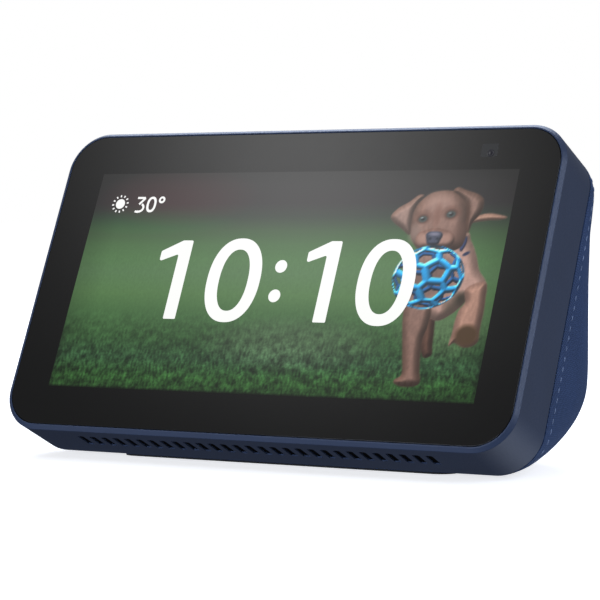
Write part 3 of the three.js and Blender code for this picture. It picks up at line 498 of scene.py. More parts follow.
def lit_picture(name):
    """The lit display: painted colours shine, and on the lawn a blade-sized noise breaks them up."""
    look, tree = start(name)
    paint = node(tree, "ShaderNodeAttribute", {"attribute_name": "picture"})
    place = node(tree, "ShaderNodeTexCoord").outputs["Object"]
    blades = node(tree, "ShaderNodeMapping", None, {
        "Vector": place, "Rotation": (0.0, 0.5, 0.0), "Scale": (1.0, 1.0, 0.45),
    })
    grass = node(tree, "ShaderNodeTexNoise", None, {
        "Vector": blades.outputs[0], "Scale": 1 / (0.6 * MM), "Detail": 3.0, "Roughness": 0.7,
    })
    lift = node(tree, "ShaderNodeMapRange", None, {
        "Value": grass.outputs[0], "From Min": 0.3, "From Max": 0.7, "To Min": -0.5, "To Max": 0.5,
    })
    amount = node(tree, "ShaderNodeMath", {"operation": "MULTIPLY_ADD"}, {
        0: lift.outputs[0], 1: paint.outputs["Alpha"], 2: 1.0,
    })
    colour = node(tree, "ShaderNodeVectorMath", {"operation": "SCALE"}, {
        0: paint.outputs["Color"], "Scale": amount.outputs[0],
    })
    return lit(look, colour.outputs[0])


def lit_white(name):
    """White figures on the display, with the faint unevenness of the lamp behind them."""
    look, tree = start(name)
    place = node(tree, "ShaderNodeTexCoord").outputs["Object"]
    return lit(look, two_tones(tree, place, 1 / (25 * MM), "#f4f6f2", "#ffffff")[1])


def printed_board(name):
    """Fibreglass board under green solder mask: copper tracks show as paler raised cells."""
    look, tree = start(name)
    place = node(tree, "ShaderNodeTexCoord").outputs["Object"]
    cells = node(tree, "ShaderNodeTexVoronoi", {"feature": "DISTANCE_TO_EDGE"}, {
        "Vector": place, "Scale": 1 / (3.0 * MM),
    })
    track = node(tree, "ShaderNodeMapRange", None, {
        "Value": cells.outputs["Distance"], "From Min": 0.05, "From Max": 0.09,
    })
    tone = node(tree, "ShaderNodeMix", {"data_type": "RGBA"}, {
        0: track.outputs[0], 6: linear("#2f7350"), 7: linear("#164230"),
    })
    bump = node(tree, "ShaderNodeBump", {"invert": True}, {
        "Height": track.outputs[0], "Strength": 0.5, "Distance": 0.04 * MM,
    })
    return finish_look(look, {
        "Base Color": tone.outputs[2], "Roughness": 0.38, "Normal": bump.outputs[0],
    })


# A rib's pitch is 0.7 mm and a stitch's 0.5 mm, near the real yarn's. A wave's bands are 0.314
# units of its own scale apart along an axis, and 0.444 units apart on the slant.
KNIT_RIB = 0.444 / 0.7
KNIT_BEAD = 0.314 / 0.5

# Moulded ABS, spark-eroded to a satin: 0.12 mm grain drawn as 0.35 mm so that it shows.
navy = grained("moulded navy ABS", "#2b3850", "#33425e", 0.42, 0.35, 0.012, **{
    "Specular IOR Level": 0.5,
})
# The same moulding's printed marks, a paler pad print.
mark_print = grained("pale pad print", "#76839a", "#8995aa", 0.5, 0.3, 0.004)
# Circular-knitted polyester, piece-dyed navy, with painted shade darkening the crevices between its
# yarns.
cover_knit = knitted("circular-knitted navy polyester")
# Twisted polyester thread of the seam, paler than the cover where it catches light.
seam_thread = grained("twisted seam thread", "#5a6c8f", "#93a4c2", 0.7, 0.25, 0.03, 3.0)
# Chemically toughened glass with black ceramic print behind it.
front_glass = glassy("toughened glass over black print", "#060606", "#090909", 0.07)
window_glass = glassy("smoked camera window", "#1d1e1f", "#262728", 0.12)
picture_look = lit_picture("lit display picture")
figure_look = lit_white("lit white figures")

# Near-black sheet, woven at 0.3 mm, set in the vent slots as painted shade for their dark inside.
vent_shade_look = grained("woven near-black painted vent shade", "#020203", "#050506", 0.95, 0.3, 0.03, **{
    "Specular IOR Level": 0.05,
})

slot_looks = {
    "navy_plastic": navy,
    # Plain glass-filled moulding, left matt.
    "inner_plastic": grained("moulded dark inner ABS", "#1a1f28", "#232a36", 0.58, 0.5, 0.02),
    "knit": cover_knit,
    "cover_glass": glassy("coated lens glass", "#0b0c12", "#141226", 0.05),
    # Laminated polarising film, glossy, with a faint green of the panel behind.
    "display_film": glassy("laminated display film", "#16211a", "#223026", 0.22),
    # Black ABS from a lightly textured mould.
    "black_plastic": grained("moulded black ABS", "#111213", "#1a1b1d", 0.52, 0.45, 0.02),
    # Moulded silicone rubber, dull, with dust in its pores.
    "rubber": grained("moulded black rubber", "#161719", "#202225", 0.82, 0.7, 0.04, 9.0),
    # Nickel-plated pressed steel, lines from rolling.
    "steel": brushed("nickel-plated pressed steel", "#a3a6aa", "#c9cbce", 0.32, (12, 1, 1)),
    # Die-cast aluminium, tumbled.
    "aluminium": brushed("tumbled die-cast aluminium", "#8f9397", "#b5b8bb", 0.45, (2, 2, 2), 0.6),
    "circuit_board": printed_board("green solder-masked board"),
    # Rolled copper under a thin lacquer.
    "copper": brushed("lacquered rolled copper", "#a05a34", "#c87c4c", 0.35, (1, 10, 1)),
    # Pressed paper pulp, fibres 0.8 mm long.
    "cone_paper": grained("pressed paper pulp", "#222223", "#343435", 0.9, 0.8, 0.06, 5.0),
}
for row in frame["record"]["subparts"]:
    shown = frame["nodes"][row["node"]].data
    shown.materials.clear()
    shown.materials.append(slot_looks[row["material_slot"]])


# ------------------------------------------------------------------ front band
def band():
    """The band: a closed profile of its wall, rim and glass ledge carried round the face."""
    profile = rounded([
        (0.0, -BAND_DEPTH, 0.35),
        (0.0, -RIM_DROP, 0.3),
        (RIM_BEVEL, 0.0, 0.18),
        (RIM, 0.0, 0.1),
        (RIM, LEDGE, 0.05),
        (LEDGE_REACH, LEDGE, 0.1),
        (LEDGE_REACH, LEDGE - LEDGE_THICK, 0.1),
        (BAND_WALL, LEDGE - LEDGE_THICK, 0.2),
        (BAND_WALL, -BAND_DEPTH, 0.2),
    ])
    points = carried(rectangle_path(FACE_WIDTH, FACE_HEIGHT, FACE_CORNER), profile)
    faces = grid_faces(*points.shape[:2], round_rows=True, round_columns=True)
    return on_face(points.reshape(-1, 3)), faces


def slot_row(play, radius, low, high):
    """The row of slots along the band's lower wall, as upright prisms between two heights over
    it, each smaller than its slot by the play."""
    first = -(SLOT_COUNT - 1) * SLOT_PITCH / 2
    width, length = SLOT_SIZE[0] - play, SLOT_SIZE[1] - play
    prisms = []
    for k in range(SLOT_COUNT):
        path = rectangle_path(width, length, radius, (first + k * SLOT_PITCH, 0), 3)
        prisms.append(slab(path, low, high, 0.01, 1))
    points, faces = together(prisms)
    across, back, up = points.T
    middle = -SLOT_START - SLOT_SIZE[1] / 2
    return on_face(np.stack([across, -HALF_H - up, middle - back], -1)), faces


def control_holes():
    """Holes through the top wall for the buttons and microphones, and the shutter's recess."""
    top, under = OVERCUT, -BAND_WALL - OVERCUT
    holes = []
    bores = [(k * BUTTON_PITCH, BUTTON_R + PLAY, 64) for k in (-1, 0, 1)]
    bores += [(side * MIC_X, MIC_R, 24) for side in (-1, 1)]
    for x, radius, segments in bores:
        bore = turned([(0, under), (radius, under), (radius, top), (0, top)], segments)
        holes.append(moved(bore, x, 0))
    middle = SHUTTER_X + SHUTTER_TRAVEL / 2
    run, room = SHUTTER_TRAVEL + 2 * PLAY, 2 * PLAY
    recess = rectangle_path(KNOB[0] + run, KNOB[2] + room, 0.8, (middle, 0), 6)
    neck = rectangle_path(NECK[0] + run, NECK[1] + room, 0.3, (middle, 0), 4)
    holes.append(slab(recess, KNOB_PROUD - KNOB[1] - PLAY, top, 0.02, 1))
    holes.append(slab(neck, under, top - PLAY, 0.02, 1))
    return put(together(holes), on_top_wall)


front_band = piece("front_band", band(), navy)
cut(front_band, slot_row(0.0, 0.45, -BAND_WALL - OVERCUT, OVERCUT))
cut(front_band, control_holes())
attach(front_band, "body")
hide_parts("front_frame")

# A near-black sheet stands in each slot of the lower wall, just under the surface, as painted shade for
# the dark inside of the vents.
vent_shade_shape = slot_row(0.04, 0.43, -BAND_WALL, -VENT_SHADE_DROP)
vent_shade_piece = piece("vent_shade_sheets", vent_shade_shape, vent_shade_look)
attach(vent_shade_piece, "body")

# ------------------------------------------------------------------ glass and camera window
inset = 2 * (RIM + GLASS_FIT)
glass_path = rectangle_path(FACE_WIDTH - inset, FACE_HEIGHT - inset, FACE_CORNER - RIM - GLASS_FIT)
glass_shape = put(slab(glass_path, -GLASS_THICK, 0, 0.12), on_face)
glass_sheet = piece("glass_sheet", glass_shape, front_glass)
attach(glass_sheet, "body")
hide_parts("cover_glass")

window_shape = slab(rectangle_path(*WINDOW_SIZE, 0.3, WINDOW, 4), -0.2, 0.02, 0.01, 1)
camera_window = piece("camera_window", put(window_shape, on_face), window_glass)
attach(camera_window, "body")

lens_profile = [
    (0, 0.02), (0.95, 0.02), (0.95, 0.03), (0.8, 0.045), (0.66, 0.03), (0.5, 0.035), (0, 0.06),
]
lens_shape = moved(turned(lens_profile, 48), WINDOW[0] + LENS_SHIFT[0], WINDOW[1] + LENS_SHIFT[1])
lens_ring = piece("lens_ring", put(lens_shape, on_face), slot_looks["cover_glass"])
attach(lens_ring, "body")


# ------------------------------------------------------------------ display picture
class Painting:
    """The picture on the display, as arrays of colour over a grid in mm from its middle."""

    def __init__(self):
        """Lays the grid out and paints the blurred garden behind everything."""
        columns = int(PICTURE[0] / PICTURE_CELL) + 1
        rows = int(PICTURE[1] / PICTURE_CELL) + 1
        self.u, self.v = np.meshgrid(
            np.linspace(-PICTURE[0] / 2, PICTURE[0] / 2, columns),
            np.linspace(-PICTURE[1] / 2, PICTURE[1] / 2, rows),
        )
        self.colour = np.zeros(self.u.shape + (3,))
        self.grass = np.zeros(self.u.shape)
        self.noise = np.random.default_rng(GARDEN_SEED).random(self.u.shape)
        self.garden()

    def blurred(self, across, up):
        """The seeded noise averaged over a number of cells each way, stretched to 0 to 1."""
        soft = self.noise
        for axis, size in ((1, across), (0, up)):
            line = np.ones(size) / size
            soft = np.apply_along_axis(np.convolve, axis, soft, line, "same")
        low, high = np.percentile(soft, [2, 98])
        return np.clip((soft - low) / (high - low), 0, 1)

    def garden(self):
        """A dark hedge, a blurred lawn and sharp grass: colours by height, drifting sideways."""
        heights = [-31, -27, -22, -16, -10, -4, 2, 6, 10, 14, 18, 22, 31]
        tones = [
            "#23401f", "#264522", "#28432a", "#2d4a2a", "#3d5f38", "#4c6e42", "#4f6f49",
            "#4c6e45", "#466540", "#3d5439", "#303a31", "#2b292a", "#242424",
        ]
        stops = np.array([shares(t) for t in tones])
        for k in range(3):
            self.colour[..., k] = np.interp(self.v, heights, stops[:, k])
        drift = self.blurred(60, 24)[..., None] - 0.5
        self.colour *= 1 + 0.16 * drift
        for middle, reach, tint in (((-36, 24), (26, 9), (0.055, -0.004, 0.0)),
                                    ((-44, 16.5), (30, 4), (-0.01, 0.035, 0.0))):
            spot = np.clip(1 - self.far(middle, reach) ** 2, 0, 1)[..., None]
            self.colour += spot * np.array(tint)
        self.stain((50, -11), (15, 10), "#66785a", 0.5)
        self.stain((8, -17), (28, 8), "#5d6c58", 0.4)
        lawn = np.clip((-8 - self.v) / 16, 0, 1)
        tufts = self.blurred(9, 5) - 0.5
        blades = self.blurred(2, 4) - 0.5
        self.colour *= 1 + (0.4 * lawn * tufts + 0.7 * lawn * blades)[..., None]
        self.grass = 0.15 + 0.85 * lawn
        self.grass *= np.clip((12 - self.v) / 6, 0, 1)

    def depth(self, outline):
        """How far each point is inside a closed outline in mm, negative outside.
        The nearest edge gives the distance, and the number of edges crossed sideways the sign."""
        reach = 3.0
        low, high = outline.min(0) - reach, outline.max(0) + reach
        near = (self.u > low[0]) & (self.u < high[0]) & (self.v > low[1]) & (self.v < high[1])
        p = np.stack([self.u[near], self.v[near]], -1)[None]
        a, b = outline[:, None], np.roll(outline, -1, 0)[:, None]
        side = b - a
        share = ((p - a) * side).sum(-1) / np.maximum((side**2).sum(-1), 1e-9)
        gap = p - a - np.clip(share, 0, 1)[..., None] * side
        distance = np.sqrt((gap**2).sum(-1).min(0))
        level = (a[..., 1] > p[..., 1]) != (b[..., 1] > p[..., 1])
        rise = np.where(np.abs(side[..., 1]) < 1e-9, 1e-9, side[..., 1])
        crossing = a[..., 0] + (p[..., 1] - a[..., 1]) * side[..., 0] / rise
        inside = (level & (p[..., 0] < crossing)).sum(0) % 2 == 1
        result = np.full(self.u.shape, -reach)
        result[near] = np.where(inside, distance, -distance)
        return result

    def lay(self, cover, colour):
        """Covers the picture with a colour where cover is 1."""
        cover = cover[..., None]
        self.colour = self.colour * (1 - cover) + colour * cover
        self.grass = self.grass * (1 - cover[..., 0])

    def fur(self, outline, middle, edge, swell, soft=0.35):
        """A furry form: it swells from its outline as a sine over a width, and light from the
        upper left shades the slope of that swell. Its colour runs from the edge's to the middle's."""
        depth = self.depth(smooth_loop(outline))
        inner = np.clip(depth / swell, 0, 1)
        up, right = np.gradient(swell * np.sin(inner * math.pi / 2), PICTURE_CELL)
        light = (0.35 * right - 0.55 * up + 0.76) / np.sqrt(1 + right**2 + up**2)
        light *= 1 + 0.26 * (self.strands - 0.5)
        tone = shares(edge) * (1 - inner[..., None]) + shares(middle) * inner[..., None]
        tone = tone * (0.49 + 0.6 * np.clip(light, 0, None))[..., None]
        self.lay(np.clip(0.5 + depth / soft, 0, 1), tone)

    def far(self, middle, reach, lean=0.0):
        """How far each point is from an oval's middle, as a share of the way to its edge: the
        offset is turned by the oval's lean and divided by its two reaches."""
        x, y = self.u - middle[0], self.v - middle[1]
        a = (x * math.cos(lean) + y * math.sin(lean)) / reach[0]
        b = (y * math.cos(lean) - x * math.sin(lean)) / reach[1]
        return np.hypot(a, b)

    def stain(self, middle, reach, code, amount, lean=0.0):
        """A soft-edged oval of colour, strongest in its middle, turned by an angle."""
        cover = amount * np.clip(1 - self.far(middle, reach, lean) ** 2, 0, 1)[..., None]
        self.colour = self.colour * (1 - cover) + shares(code) * cover

    def oval(self, middle, reach, code, lean=0.0, soft=0.3):
        """A crisp oval of colour, turned by an angle."""
        depth = (1 - self.far(middle, reach, lean)) * min(reach)
        self.lay(np.clip(0.5 + depth / soft, 0, 1), shares(code))

    def puppy(self):
        """A brown puppy trotting forwards, from its tail to its nose, each form over the last."""
        self.strands = self.blurred(2, 4)
        self.fur([(51.5, 16.4), (53, 18.2), (56, 18.9), (59.4, 18.4), (61, 17.8), (59.6, 17.2),
                  (56.3, 17.0), (53.3, 16.6)], "#b08b79", "#8b6b5d", 0.9)
        self.fur([(43.3, -8), (46.6, -8.6), (47.5, -12.4), (47.8, -16.2), (48.1, -18.8),
                  (46.2, -19.6), (44.9, -17.4), (44.2, -13.6)], "#6b4c40", "#4f372e", 1.8)
        self.fur([(50, 13.5), (52.6, 11.4), (54.8, 7.5), (56.3, 3.7), (58.6, 0.8), (59.3, -1.6),
                  (58.6, -4.4), (55.4, -3.6), (53.0, -6.4), (50.2, -8.8), (47.6, -9.9),
                  (44.6, -8.7), (42.0, -8), (39.2, -8), (37.6, -3), (38, 6)],
                 "#be988c", "#9f8074", 2.6)
        self.stain((52.6, -3.9), (2.6, 2.2), "#2f2c24", 0.85, 0.9)
        self.stain((50.4, -5.9), (2.6, 2.4), "#4c4339", 0.7, 0.7)
        self.fur([(38.2, -5.5), (41.5, -5), (45.3, -6.4), (45.6, -11), (44.9, -14.5), (45.1, -18.5),
                  (45.8, -23), (46.5, -25.6), (45.6, -26.9), (42.2, -27.3), (39.7, -26.5),
                  (39.5, -25.5), (41.1, -24), (40.3, -19.4), (39.1, -13.8), (38.3, -9.6)],
                 "#8e6e63", "#6a4f43", 2.2)
        for x in (41.0, 42.6, 44.3):
            self.stain((x, -26.5), (0.35, 0.8), "#33241c", 0.8)
        self.fur([(53.6, -1.6), (56.1, 0.2), (58.9, 0.3), (59.5, -3.9), (59.7, -7.6), (59.6, -10),
                  (59.6, -12.5), (59.7, -14.9), (58.3, -16.3), (55.9, -16.6), (53.6, -15.5),
                  (52.1, -16.3), (52.4, -13), (52.5, -10), (53, -7), (54.2, -4.8)],
                 "#b58b7a", "#86665a", 2.2)
        self.oval((56.3, -13.5), (3.0, 2.7), "#4e3b2a", 0.1, 1.3)
        self.fur([(50.3, 13), (51.3, 12.4), (51.4, 10.6), (50.5, 8.6), (49.8, 9.4), (50.4, 11)],
                 "#3c4a73", "#26304f", 0.5)
        self.oval((51.9, 8.0), (1.0, 0.45), "#2a3350", 0.5)
        self.fur([(36.4, 22.2), (38.7, 24.3), (41.0, 25.0), (43.7, 25.2), (46.3, 24.6),
                  (48.9, 22.3), (50.3, 19.1), (50.8, 16.0), (50.9, 12.9), (50.1, 9.8), (47.1, 8.4),
                  (43.2, 8.0), (39.1, 8.8), (36.6, 11.0), (35.3, 13.6), (34.7, 16.8), (35.0, 20.0)],
                 "#95756a", "#6e5347", 3.4)
        self.stain((41.6, 22.4), (5.0, 3.2), "#ab8b80", 0.6)
        self.stain((41.9, 18.4), (1.5, 4.2), "#7d574b", 0.55)
        self.stain((36.6, 13.6), (2.2, 3.4), "#a08a82", 0.55)
        self.stain((49.0, 13.6), (2.4, 4.0), "#6a4f46", 0.6)
        self.stain((38.2, 17.9), (2.9, 2.3), "#6b4a3f", 0.7)
        self.stain((45.7, 19.1), (3.1, 2.4), "#6b4a3f", 0.7)
        self.fur([(29.0, 18.2), (30.6, 20.4), (33.3, 22.1), (35.6, 24.0), (37.1, 23.8),
                  (36.0, 21.8), (35.2, 19.2), (35.2, 16.0), (35.3, 13.0), (32.6, 14.8),
                  (30.2, 16.4)], "#a08379", "#765a4e", 1.7)
        self.fur([(45.0, 25.0), (46.1, 26.1), (48.5, 25.3), (51.8, 24.2), (53.6, 22.8),
                  (54.0, 20.7), (53.4, 18.5), (51.9, 16.2), (51.3, 13.6), (50.2, 15.8),
                  (49.9, 19.1), (48.9, 21.7), (47.0, 23.6)], "#94766b", "#684e42", 1.9)
        self.stain((50.2, 18.6), (0.7, 4.8), "#4a342b", 0.7, 0.12)
        for x, y, size in ((38.1, 17.4, 1.0), (45.6, 18.7, 1.08)):
            self.stain((x, y), (1.9 * size, 1.5 * size), "#43322d", 0.9, 0.12)
            self.oval((x, y - 0.05), (1.12 * size, 0.82 * size), "#46504e", 0.12)
            self.oval((x + 0.05, y), (0.5 * size, 0.46 * size), "#202224")
            self.oval((x - 0.25, y + 0.3), (0.32, 0.16), "#a5adb0")
        self.fur([(37.3, 11.2), (37.7, 13.4), (39.8, 14.4), (42.2, 14.9), (44.7, 14.5),
                  (46.9, 13.7), (48.1, 11.7), (47.0, 9.6), (43.1, 8.9), (39.1, 9.2)],
                 "#a58176", "#79594e", 2.0)
        self.stain((42.6, 9.7), (3.2, 1.2), "#3d2b26", 0.7)
        self.stain((38.7, 11.9), (1.7, 1.9), "#a98679", 0.8)
        self.stain((46.0, 12.3), (1.7, 1.9), "#a48074", 0.8)
        self.fur([(39.9, 13.2), (40.8, 13.9), (42.3, 14.0), (43.9, 13.8), (44.5, 12.9),
                  (44.1, 11.6), (43.7, 10.6), (42.1, 10.3), (40.7, 10.6), (40.2, 11.8)],
                 "#4c5164", "#333b4d", 0.7)
        self.stain((42.2, 13.3), (1.9, 0.7), "#8b889b", 0.8)
        self.stain((41.2, 12.0), (0.6, 0.5), "#1b222f", 0.8)
        self.stain((43.3, 12.0), (0.6, 0.5), "#1b222f", 0.8)

    def ball(self, middle, reach):
        """A rubber ball of open lattice. Every point in its circle is put on the near half of a
        sphere, then on the far half. Thirty-two directions, an icosahedron's corners and the
        middles of its faces, share the sphere between them, and rubber runs where the two
        nearest directions are nearly as near as each other."""
        golden = (1 + math.sqrt(5)) / 2
        corners = np.array([(0, a, b * golden) for a in (-1, 1) for b in (-1, 1)], float)
        corners = np.concatenate([corners, corners[:, [1, 2, 0]], corners[:, [2, 0, 1]]])
        cube = np.array([(a, b, c) for a in (-1, 1) for b in (-1, 1) for c in (-1, 1)], float)
        rest = np.array([(0, a * golden, b / golden) for a in (-1, 1) for b in (-1, 1)], float)
        faces = np.concatenate([cube, rest, rest[:, [1, 2, 0]], rest[:, [2, 0, 1]]])
        spots = np.concatenate([
            corners / np.linalg.norm(corners[0]), faces / math.sqrt(3),
        ])
        turn = Matrix.Rotation(0.42, 3, "Z") @ Matrix.Rotation(0.5, 3, "X")
        turn = turn @ Matrix.Rotation(0.35, 3, "Y")
        spots = spots @ np.array(turn).T
        x, y = (self.u - middle[0]) / reach[0], (self.v - middle[1]) / reach[1]
        far = np.hypot(x, y)
        z = np.sqrt(np.clip(1 - far**2, 0, 1))
        cover = np.clip(0.5 + (1 - far) * min(reach) / 0.35, 0, 1)
        self.stain(middle, (reach[0] * 1.02, reach[1] * 1.02), "#3f3230", 0.6)
        for half, width, base in ((-1, 0.06, "#1b4a78"), (1, 0.086, "#1f8ec9")):
            point = np.stack([x, y, z * half], -1)
            near = np.sort(point @ spots.T, -1)
            apart = near[..., -1] - near[..., -2]
            bar = np.clip(1 - apart / width, 0, 1)
            crest = np.sqrt(bar)
            rim = np.clip((far - 0.93) / 0.05, 0, 1) * (half > 0)
            solid = np.clip(np.maximum(bar * 4, rim), 0, 1) * cover
            up, right = np.gradient(crest * 0.5, PICTURE_CELL)
            light = 0.62 + 0.42 * crest + 0.8 * right - 1.3 * up + 0.28 * y - 0.1 * x
            tone = shares(base) * np.clip(light, 0.35, 1.45)[..., None]
            shine = np.clip(light - 1.2, 0, 1) * (half > 0)
            tone = tone + shine[..., None] * np.array([0.9, 0.6, 0.35])
            self.lay(solid, np.clip(tone, 0, 1))


def picture_piece():
    """The picture's grid as one flat sheet just over the glass, with its colours as an attribute."""
    painting = Painting()
    painting.puppy()
    painting.ball((42.8, 1.65), (9.7, 8.5))
    lift = np.full(painting.u.shape, PICTURE_LIFT)
    across, up = painting.u + PICTURE_MIDDLE[0], painting.v + PICTURE_MIDDLE[1]
    points = on_face(np.stack([across, up, lift], -1)).reshape(-1, 3)
    made = piece("display_picture", (points, grid_faces(*painting.u.shape)), picture_look,
                 closed=False)
    paint = made.data.color_attributes.new("picture", "FLOAT_COLOR", "POINT")
    grass = painting.grass[..., None]
    values = np.concatenate([to_linear(np.clip(painting.colour, 0, 1)), grass], -1)
    paint.data.foreach_set("color", values.astype(np.float32).ravel())
    return made


display_picture = picture_piece()
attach(display_picture, "body")


# ------------------------------------------------------------------ figures on the display
def arc(middle, reach, first, last, steps=24):
    """Points along an oval's arc between two angles in degrees."""
    angle = np.radians(np.linspace(first, last, steps))
    return np.stack([middle[0] + reach[0] * np.cos(angle), middle[1] + reach[1] * np.sin(angle)], -1)


def nought(middle, outer, inner, power=2.25, steps=96, low=FIGURE_LOW, high=FIGURE_HIGH):
    """A nought: the strip between two rounded ovals, |x|^power + |y|^power = 1 on each."""
    angle = np.arange(steps) * 2 * math.pi / steps
    cos, sin = np.cos(angle), np.sin(angle)
    x = np.sign(cos) * np.abs(cos) ** (2 / power)
    y = np.sign(sin) * np.abs(sin) ** (2 / power)
    rows = []
    for reach, height in ((inner, low), (outer, low), (outer, high), (inner, high)):
        rows.append(np.stack([
            middle[0] + reach[0] * x, middle[1] + reach[1] * y, np.full(steps, height)], -1))
    faces = grid_faces(4, steps, round_rows=True, round_columns=True)
    return np.concatenate(rows), faces


def flat_figure(outline):
    """A flat solid on any closed outline, with a face over each end."""
    count = len(outline)
    low = np.c_[outline, np.full(count, FIGURE_LOW)]
    high = np.c_[outline, np.full(count, FIGURE_HIGH)]
    return np.concatenate([low, high]), tube_faces(2, count)


def one(left, width=3.68, half=11.2):
    """A one: an upright stroke with a sloping flag on its left."""
    right = left + width
    return flat_figure(rounded([
        (right, half, 0.45), (left + 0.6, half, 1.2), (left - 5.5, half - 3.1, 0.5),
        (left - 5.5, half - 6.0, 0.5), (left, half - 3.9, 0.4), (left, -half + 0.1, 0.3),
        (right, -half + 0.1, 0.3),
    ], 4))


def dot(middle, reach, steps=40):
    """A filled oval."""
    return flat_figure(arc(middle, reach, 0, 360 * (1 - 1 / steps), steps))


def figures():
    """The clock, and the weather in the upper left corner: a sun with its rays and the warmth."""
    parts = [
        one(-31.3), nought((-12.7, 0.1), (7.95, 11.75), (4.3, 8.6)),
        dot((0.58, 4.07), (1.72, 1.76)), dot((0.55, -4.1), (1.72, 1.76)),
        one(13.2), nought((31.5, 0.1), (7.95, 11.75), (4.3, 8.6)),
        dot((-53.9, 21.9), (1.42, 1.42)),
    ]
    for k in range(12):
        way = np.array([math.cos(k * math.pi / 6 + 0.13), math.sin(k * math.pi / 6 + 0.13)])
        line = np.array([-53.9, 21.9]) + np.linspace(2.0, 2.6, 3)[:, None] * way
        parts.append(ribbon(line, 0.4, FIGURE_LOW, FIGURE_HIGH))
    bowl = arc((-47.9, 20.75), (1.35, 1.15), 62, -112, 26)
    top = np.array([(-49.0, 23.65), (-47.8, 23.65), (-46.55, 23.62)])
    slope = np.array([(-46.55, 23.62), (-47.3, 22.7), (-48.15, 21.75)])
    tail = arc((-48.2, 21.3), (1.7, 1.75), -80, -118, 8)
    for line in (top, slope, bowl, tail):
        parts.append(ribbon(line + np.array([0.35, 0.0]), 0.62, FIGURE_LOW, FIGURE_HIGH))
    parts.append(nought((-43.85, 21.7), (1.5, 2.3), (0.82, 1.62), 2.3, 48))
    parts.append(nought((-40.8, 23.05), (1.0, 1.0), (0.42, 0.42), 2.0, 40))
    return put(moved(together(parts), *PICTURE_MIDDLE), on_face)


display_figures = piece("display_figures", figures(), figure_look)
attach(display_figures, "body")


# ------------------------------------------------------------------ buttons and shutter
def button():
    """A round key: a disc with a rolled edge and a shallow dish, on a flange and a stem."""
    roll = np.radians(np.linspace(0, 90, 7))
    edge = 0.35
    dish = np.linspace(0.86, 0, 10)
    foot, under, over = -4.0, -3.1, -2.3
    profile = [(0, foot), (0.9, foot), (0.9, under), (BUTTON_R + 1, under), (BUTTON_R + 1, over),
               (BUTTON_R, over)]
    profile += [(BUTTON_R - edge + edge * math.cos(a), BUTTON_PROUD - edge + edge * math.sin(a))
                for a in roll]
    profile += [(BUTTON_R * s, BUTTON_PROUD - 0.12 * (1 - (s / 0.9) ** 2)) for s in dish]
    return turned(profile, 72)


def mark(strokes):
    """A printed mark of rounded strokes, [middle x, middle y, length x, length y] each."""
    parts = []
    for x, y, wide, high in strokes:
        path = rectangle_path(wide, high, min(wide, high) / 2 - 0.01, (x, y), 6)
        parts.append(slab(path, MARK_LOW, MARK_HIGH, 0.03, 2))
    return together(parts)


def mute_mark():
    """A ring with a bar across it."""
    ring = nought((0, 0), (1.75, 1.75), (1.3, 1.3), 2.0, 48, MARK_LOW, MARK_HIGH)
    bar = ribbon([(-1.1, -1.1), (0, 0), (1.1, 1.1)], 0.45, MARK_LOW, MARK_HIGH)
    return together([ring, bar])


keys = [
    ("mute", -1, mute_mark()),
    ("volume_down", 0, mark([(0, 0, 3.0, 0.6)])),
    ("volume_up", 1, mark([(0, 0, 3.0, 0.6), (0, 0, 0.6, 3.0)])),
]
for name, step, sign in keys:
    for suffix, shape, look in (("key", button(), navy), ("mark", sign, mark_print)):
        shape = put(moved(shape, step * BUTTON_PITCH, 0), on_top_wall)
        made = piece(name + "_" + suffix, shape, look)
        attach(made, name)
        if suffix == "key":
            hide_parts(name + "_button")


def shutter():
    """The camera shutter: a ridged knob over the wall, a neck through it and a blade below."""
    top, foot = KNOB_PROUD, -3.2
    parts = [slab(rectangle_path(KNOB[0], KNOB[2], 0.7, steps=8), top - KNOB[1], top - 0.12, 0.25)]
    width, pitch = 0.45, 1.1
    for k in range(-2, 3):
        ridge = rectangle_path(width, KNOB[2] - pitch, 0.22, (k * pitch, 0), 5)
        parts.append(slab(ridge, top - 0.4, top, 0.1, 3))
    parts.append(slab(rectangle_path(*NECK, 0.2, steps=3), foot, top - KNOB[1] + 0.1, 0.05, 1))
    knob = put(moved(together(parts), SHUTTER_X, 0), on_top_wall)
    back = LEDGE - LEDGE_THICK - GAP
    arm = slab(rectangle_path(*NECK, 0.1, (SHUTTER_X, 40.0), 2), -CONTROL_LINE - 1, back, 0.05, 1)
    side, line = 7.0, 37.1
    blade = slab(rectangle_path(side, side, 0.6, (SHUTTER_X, line), 5), back - 0.5, back, 0.1, 2)
    return together([knob, put(together([arm, blade]), on_face)])


shutter_slide = piece("shutter_knob", shutter(), slot_looks["black_plastic"])
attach(shutter_slide, "shutter")
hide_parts("camera_shutter")


# ------------------------------------------------------------------ knitted cover
ARC_Y = HALF_DEPTH - LOW_R
ARC_Z = FOOT_RISE + LOW_R
SEAM = -BAND_DEPTH - GAP
HEM_HEIGHT = 3.0
HEM_SHARE = 0.04
BASE_CORNERS = (6.0, 22.0)
BASE_POINTS = 400


def seam_y(z, n):
    """Y of the face's plane moved out by n, at a height."""
    return FACE_Y + (z - FACE_Z) * SIN_T / COS_T - n / COS_T


def back_lean():
    """Lean of the back wall, from the end of the roof to where it touches the lower rounding."""
    deep = BAND_DEPTH + ROOF
    y = FACE_Y + HALF_H * SIN_T + deep * COS_T - ARC_Y
    z = FACE_Z + HALF_H * COS_T - deep * SIN_T - ARC_Z
    return math.atan2(z, y) - math.acos(LOW_R / math.hypot(y, z))


LEAN = back_lean()
SIN_L, COS_L = math.sin(LEAN), math.cos(LEAN)
TOP_R = min(HIGH_R, ROOF / math.tan((math.pi / 2 - TILT - LEAN) / 2))


def top_arc():
    """Middle of the rounding from the roof into the back, its radius inside both lines."""
    wall = ARC_Y * COS_L + ARC_Z * SIN_L + LOW_R - TOP_R
    top = FACE_Y * SIN_T + FACE_Z * COS_T + HALF_H - TOP_R
    turn = COS_L * COS_T - SIN_L * SIN_T
    return (wall * COS_T - top * SIN_L) / turn, (top * COS_L - wall * SIN_T) / turn


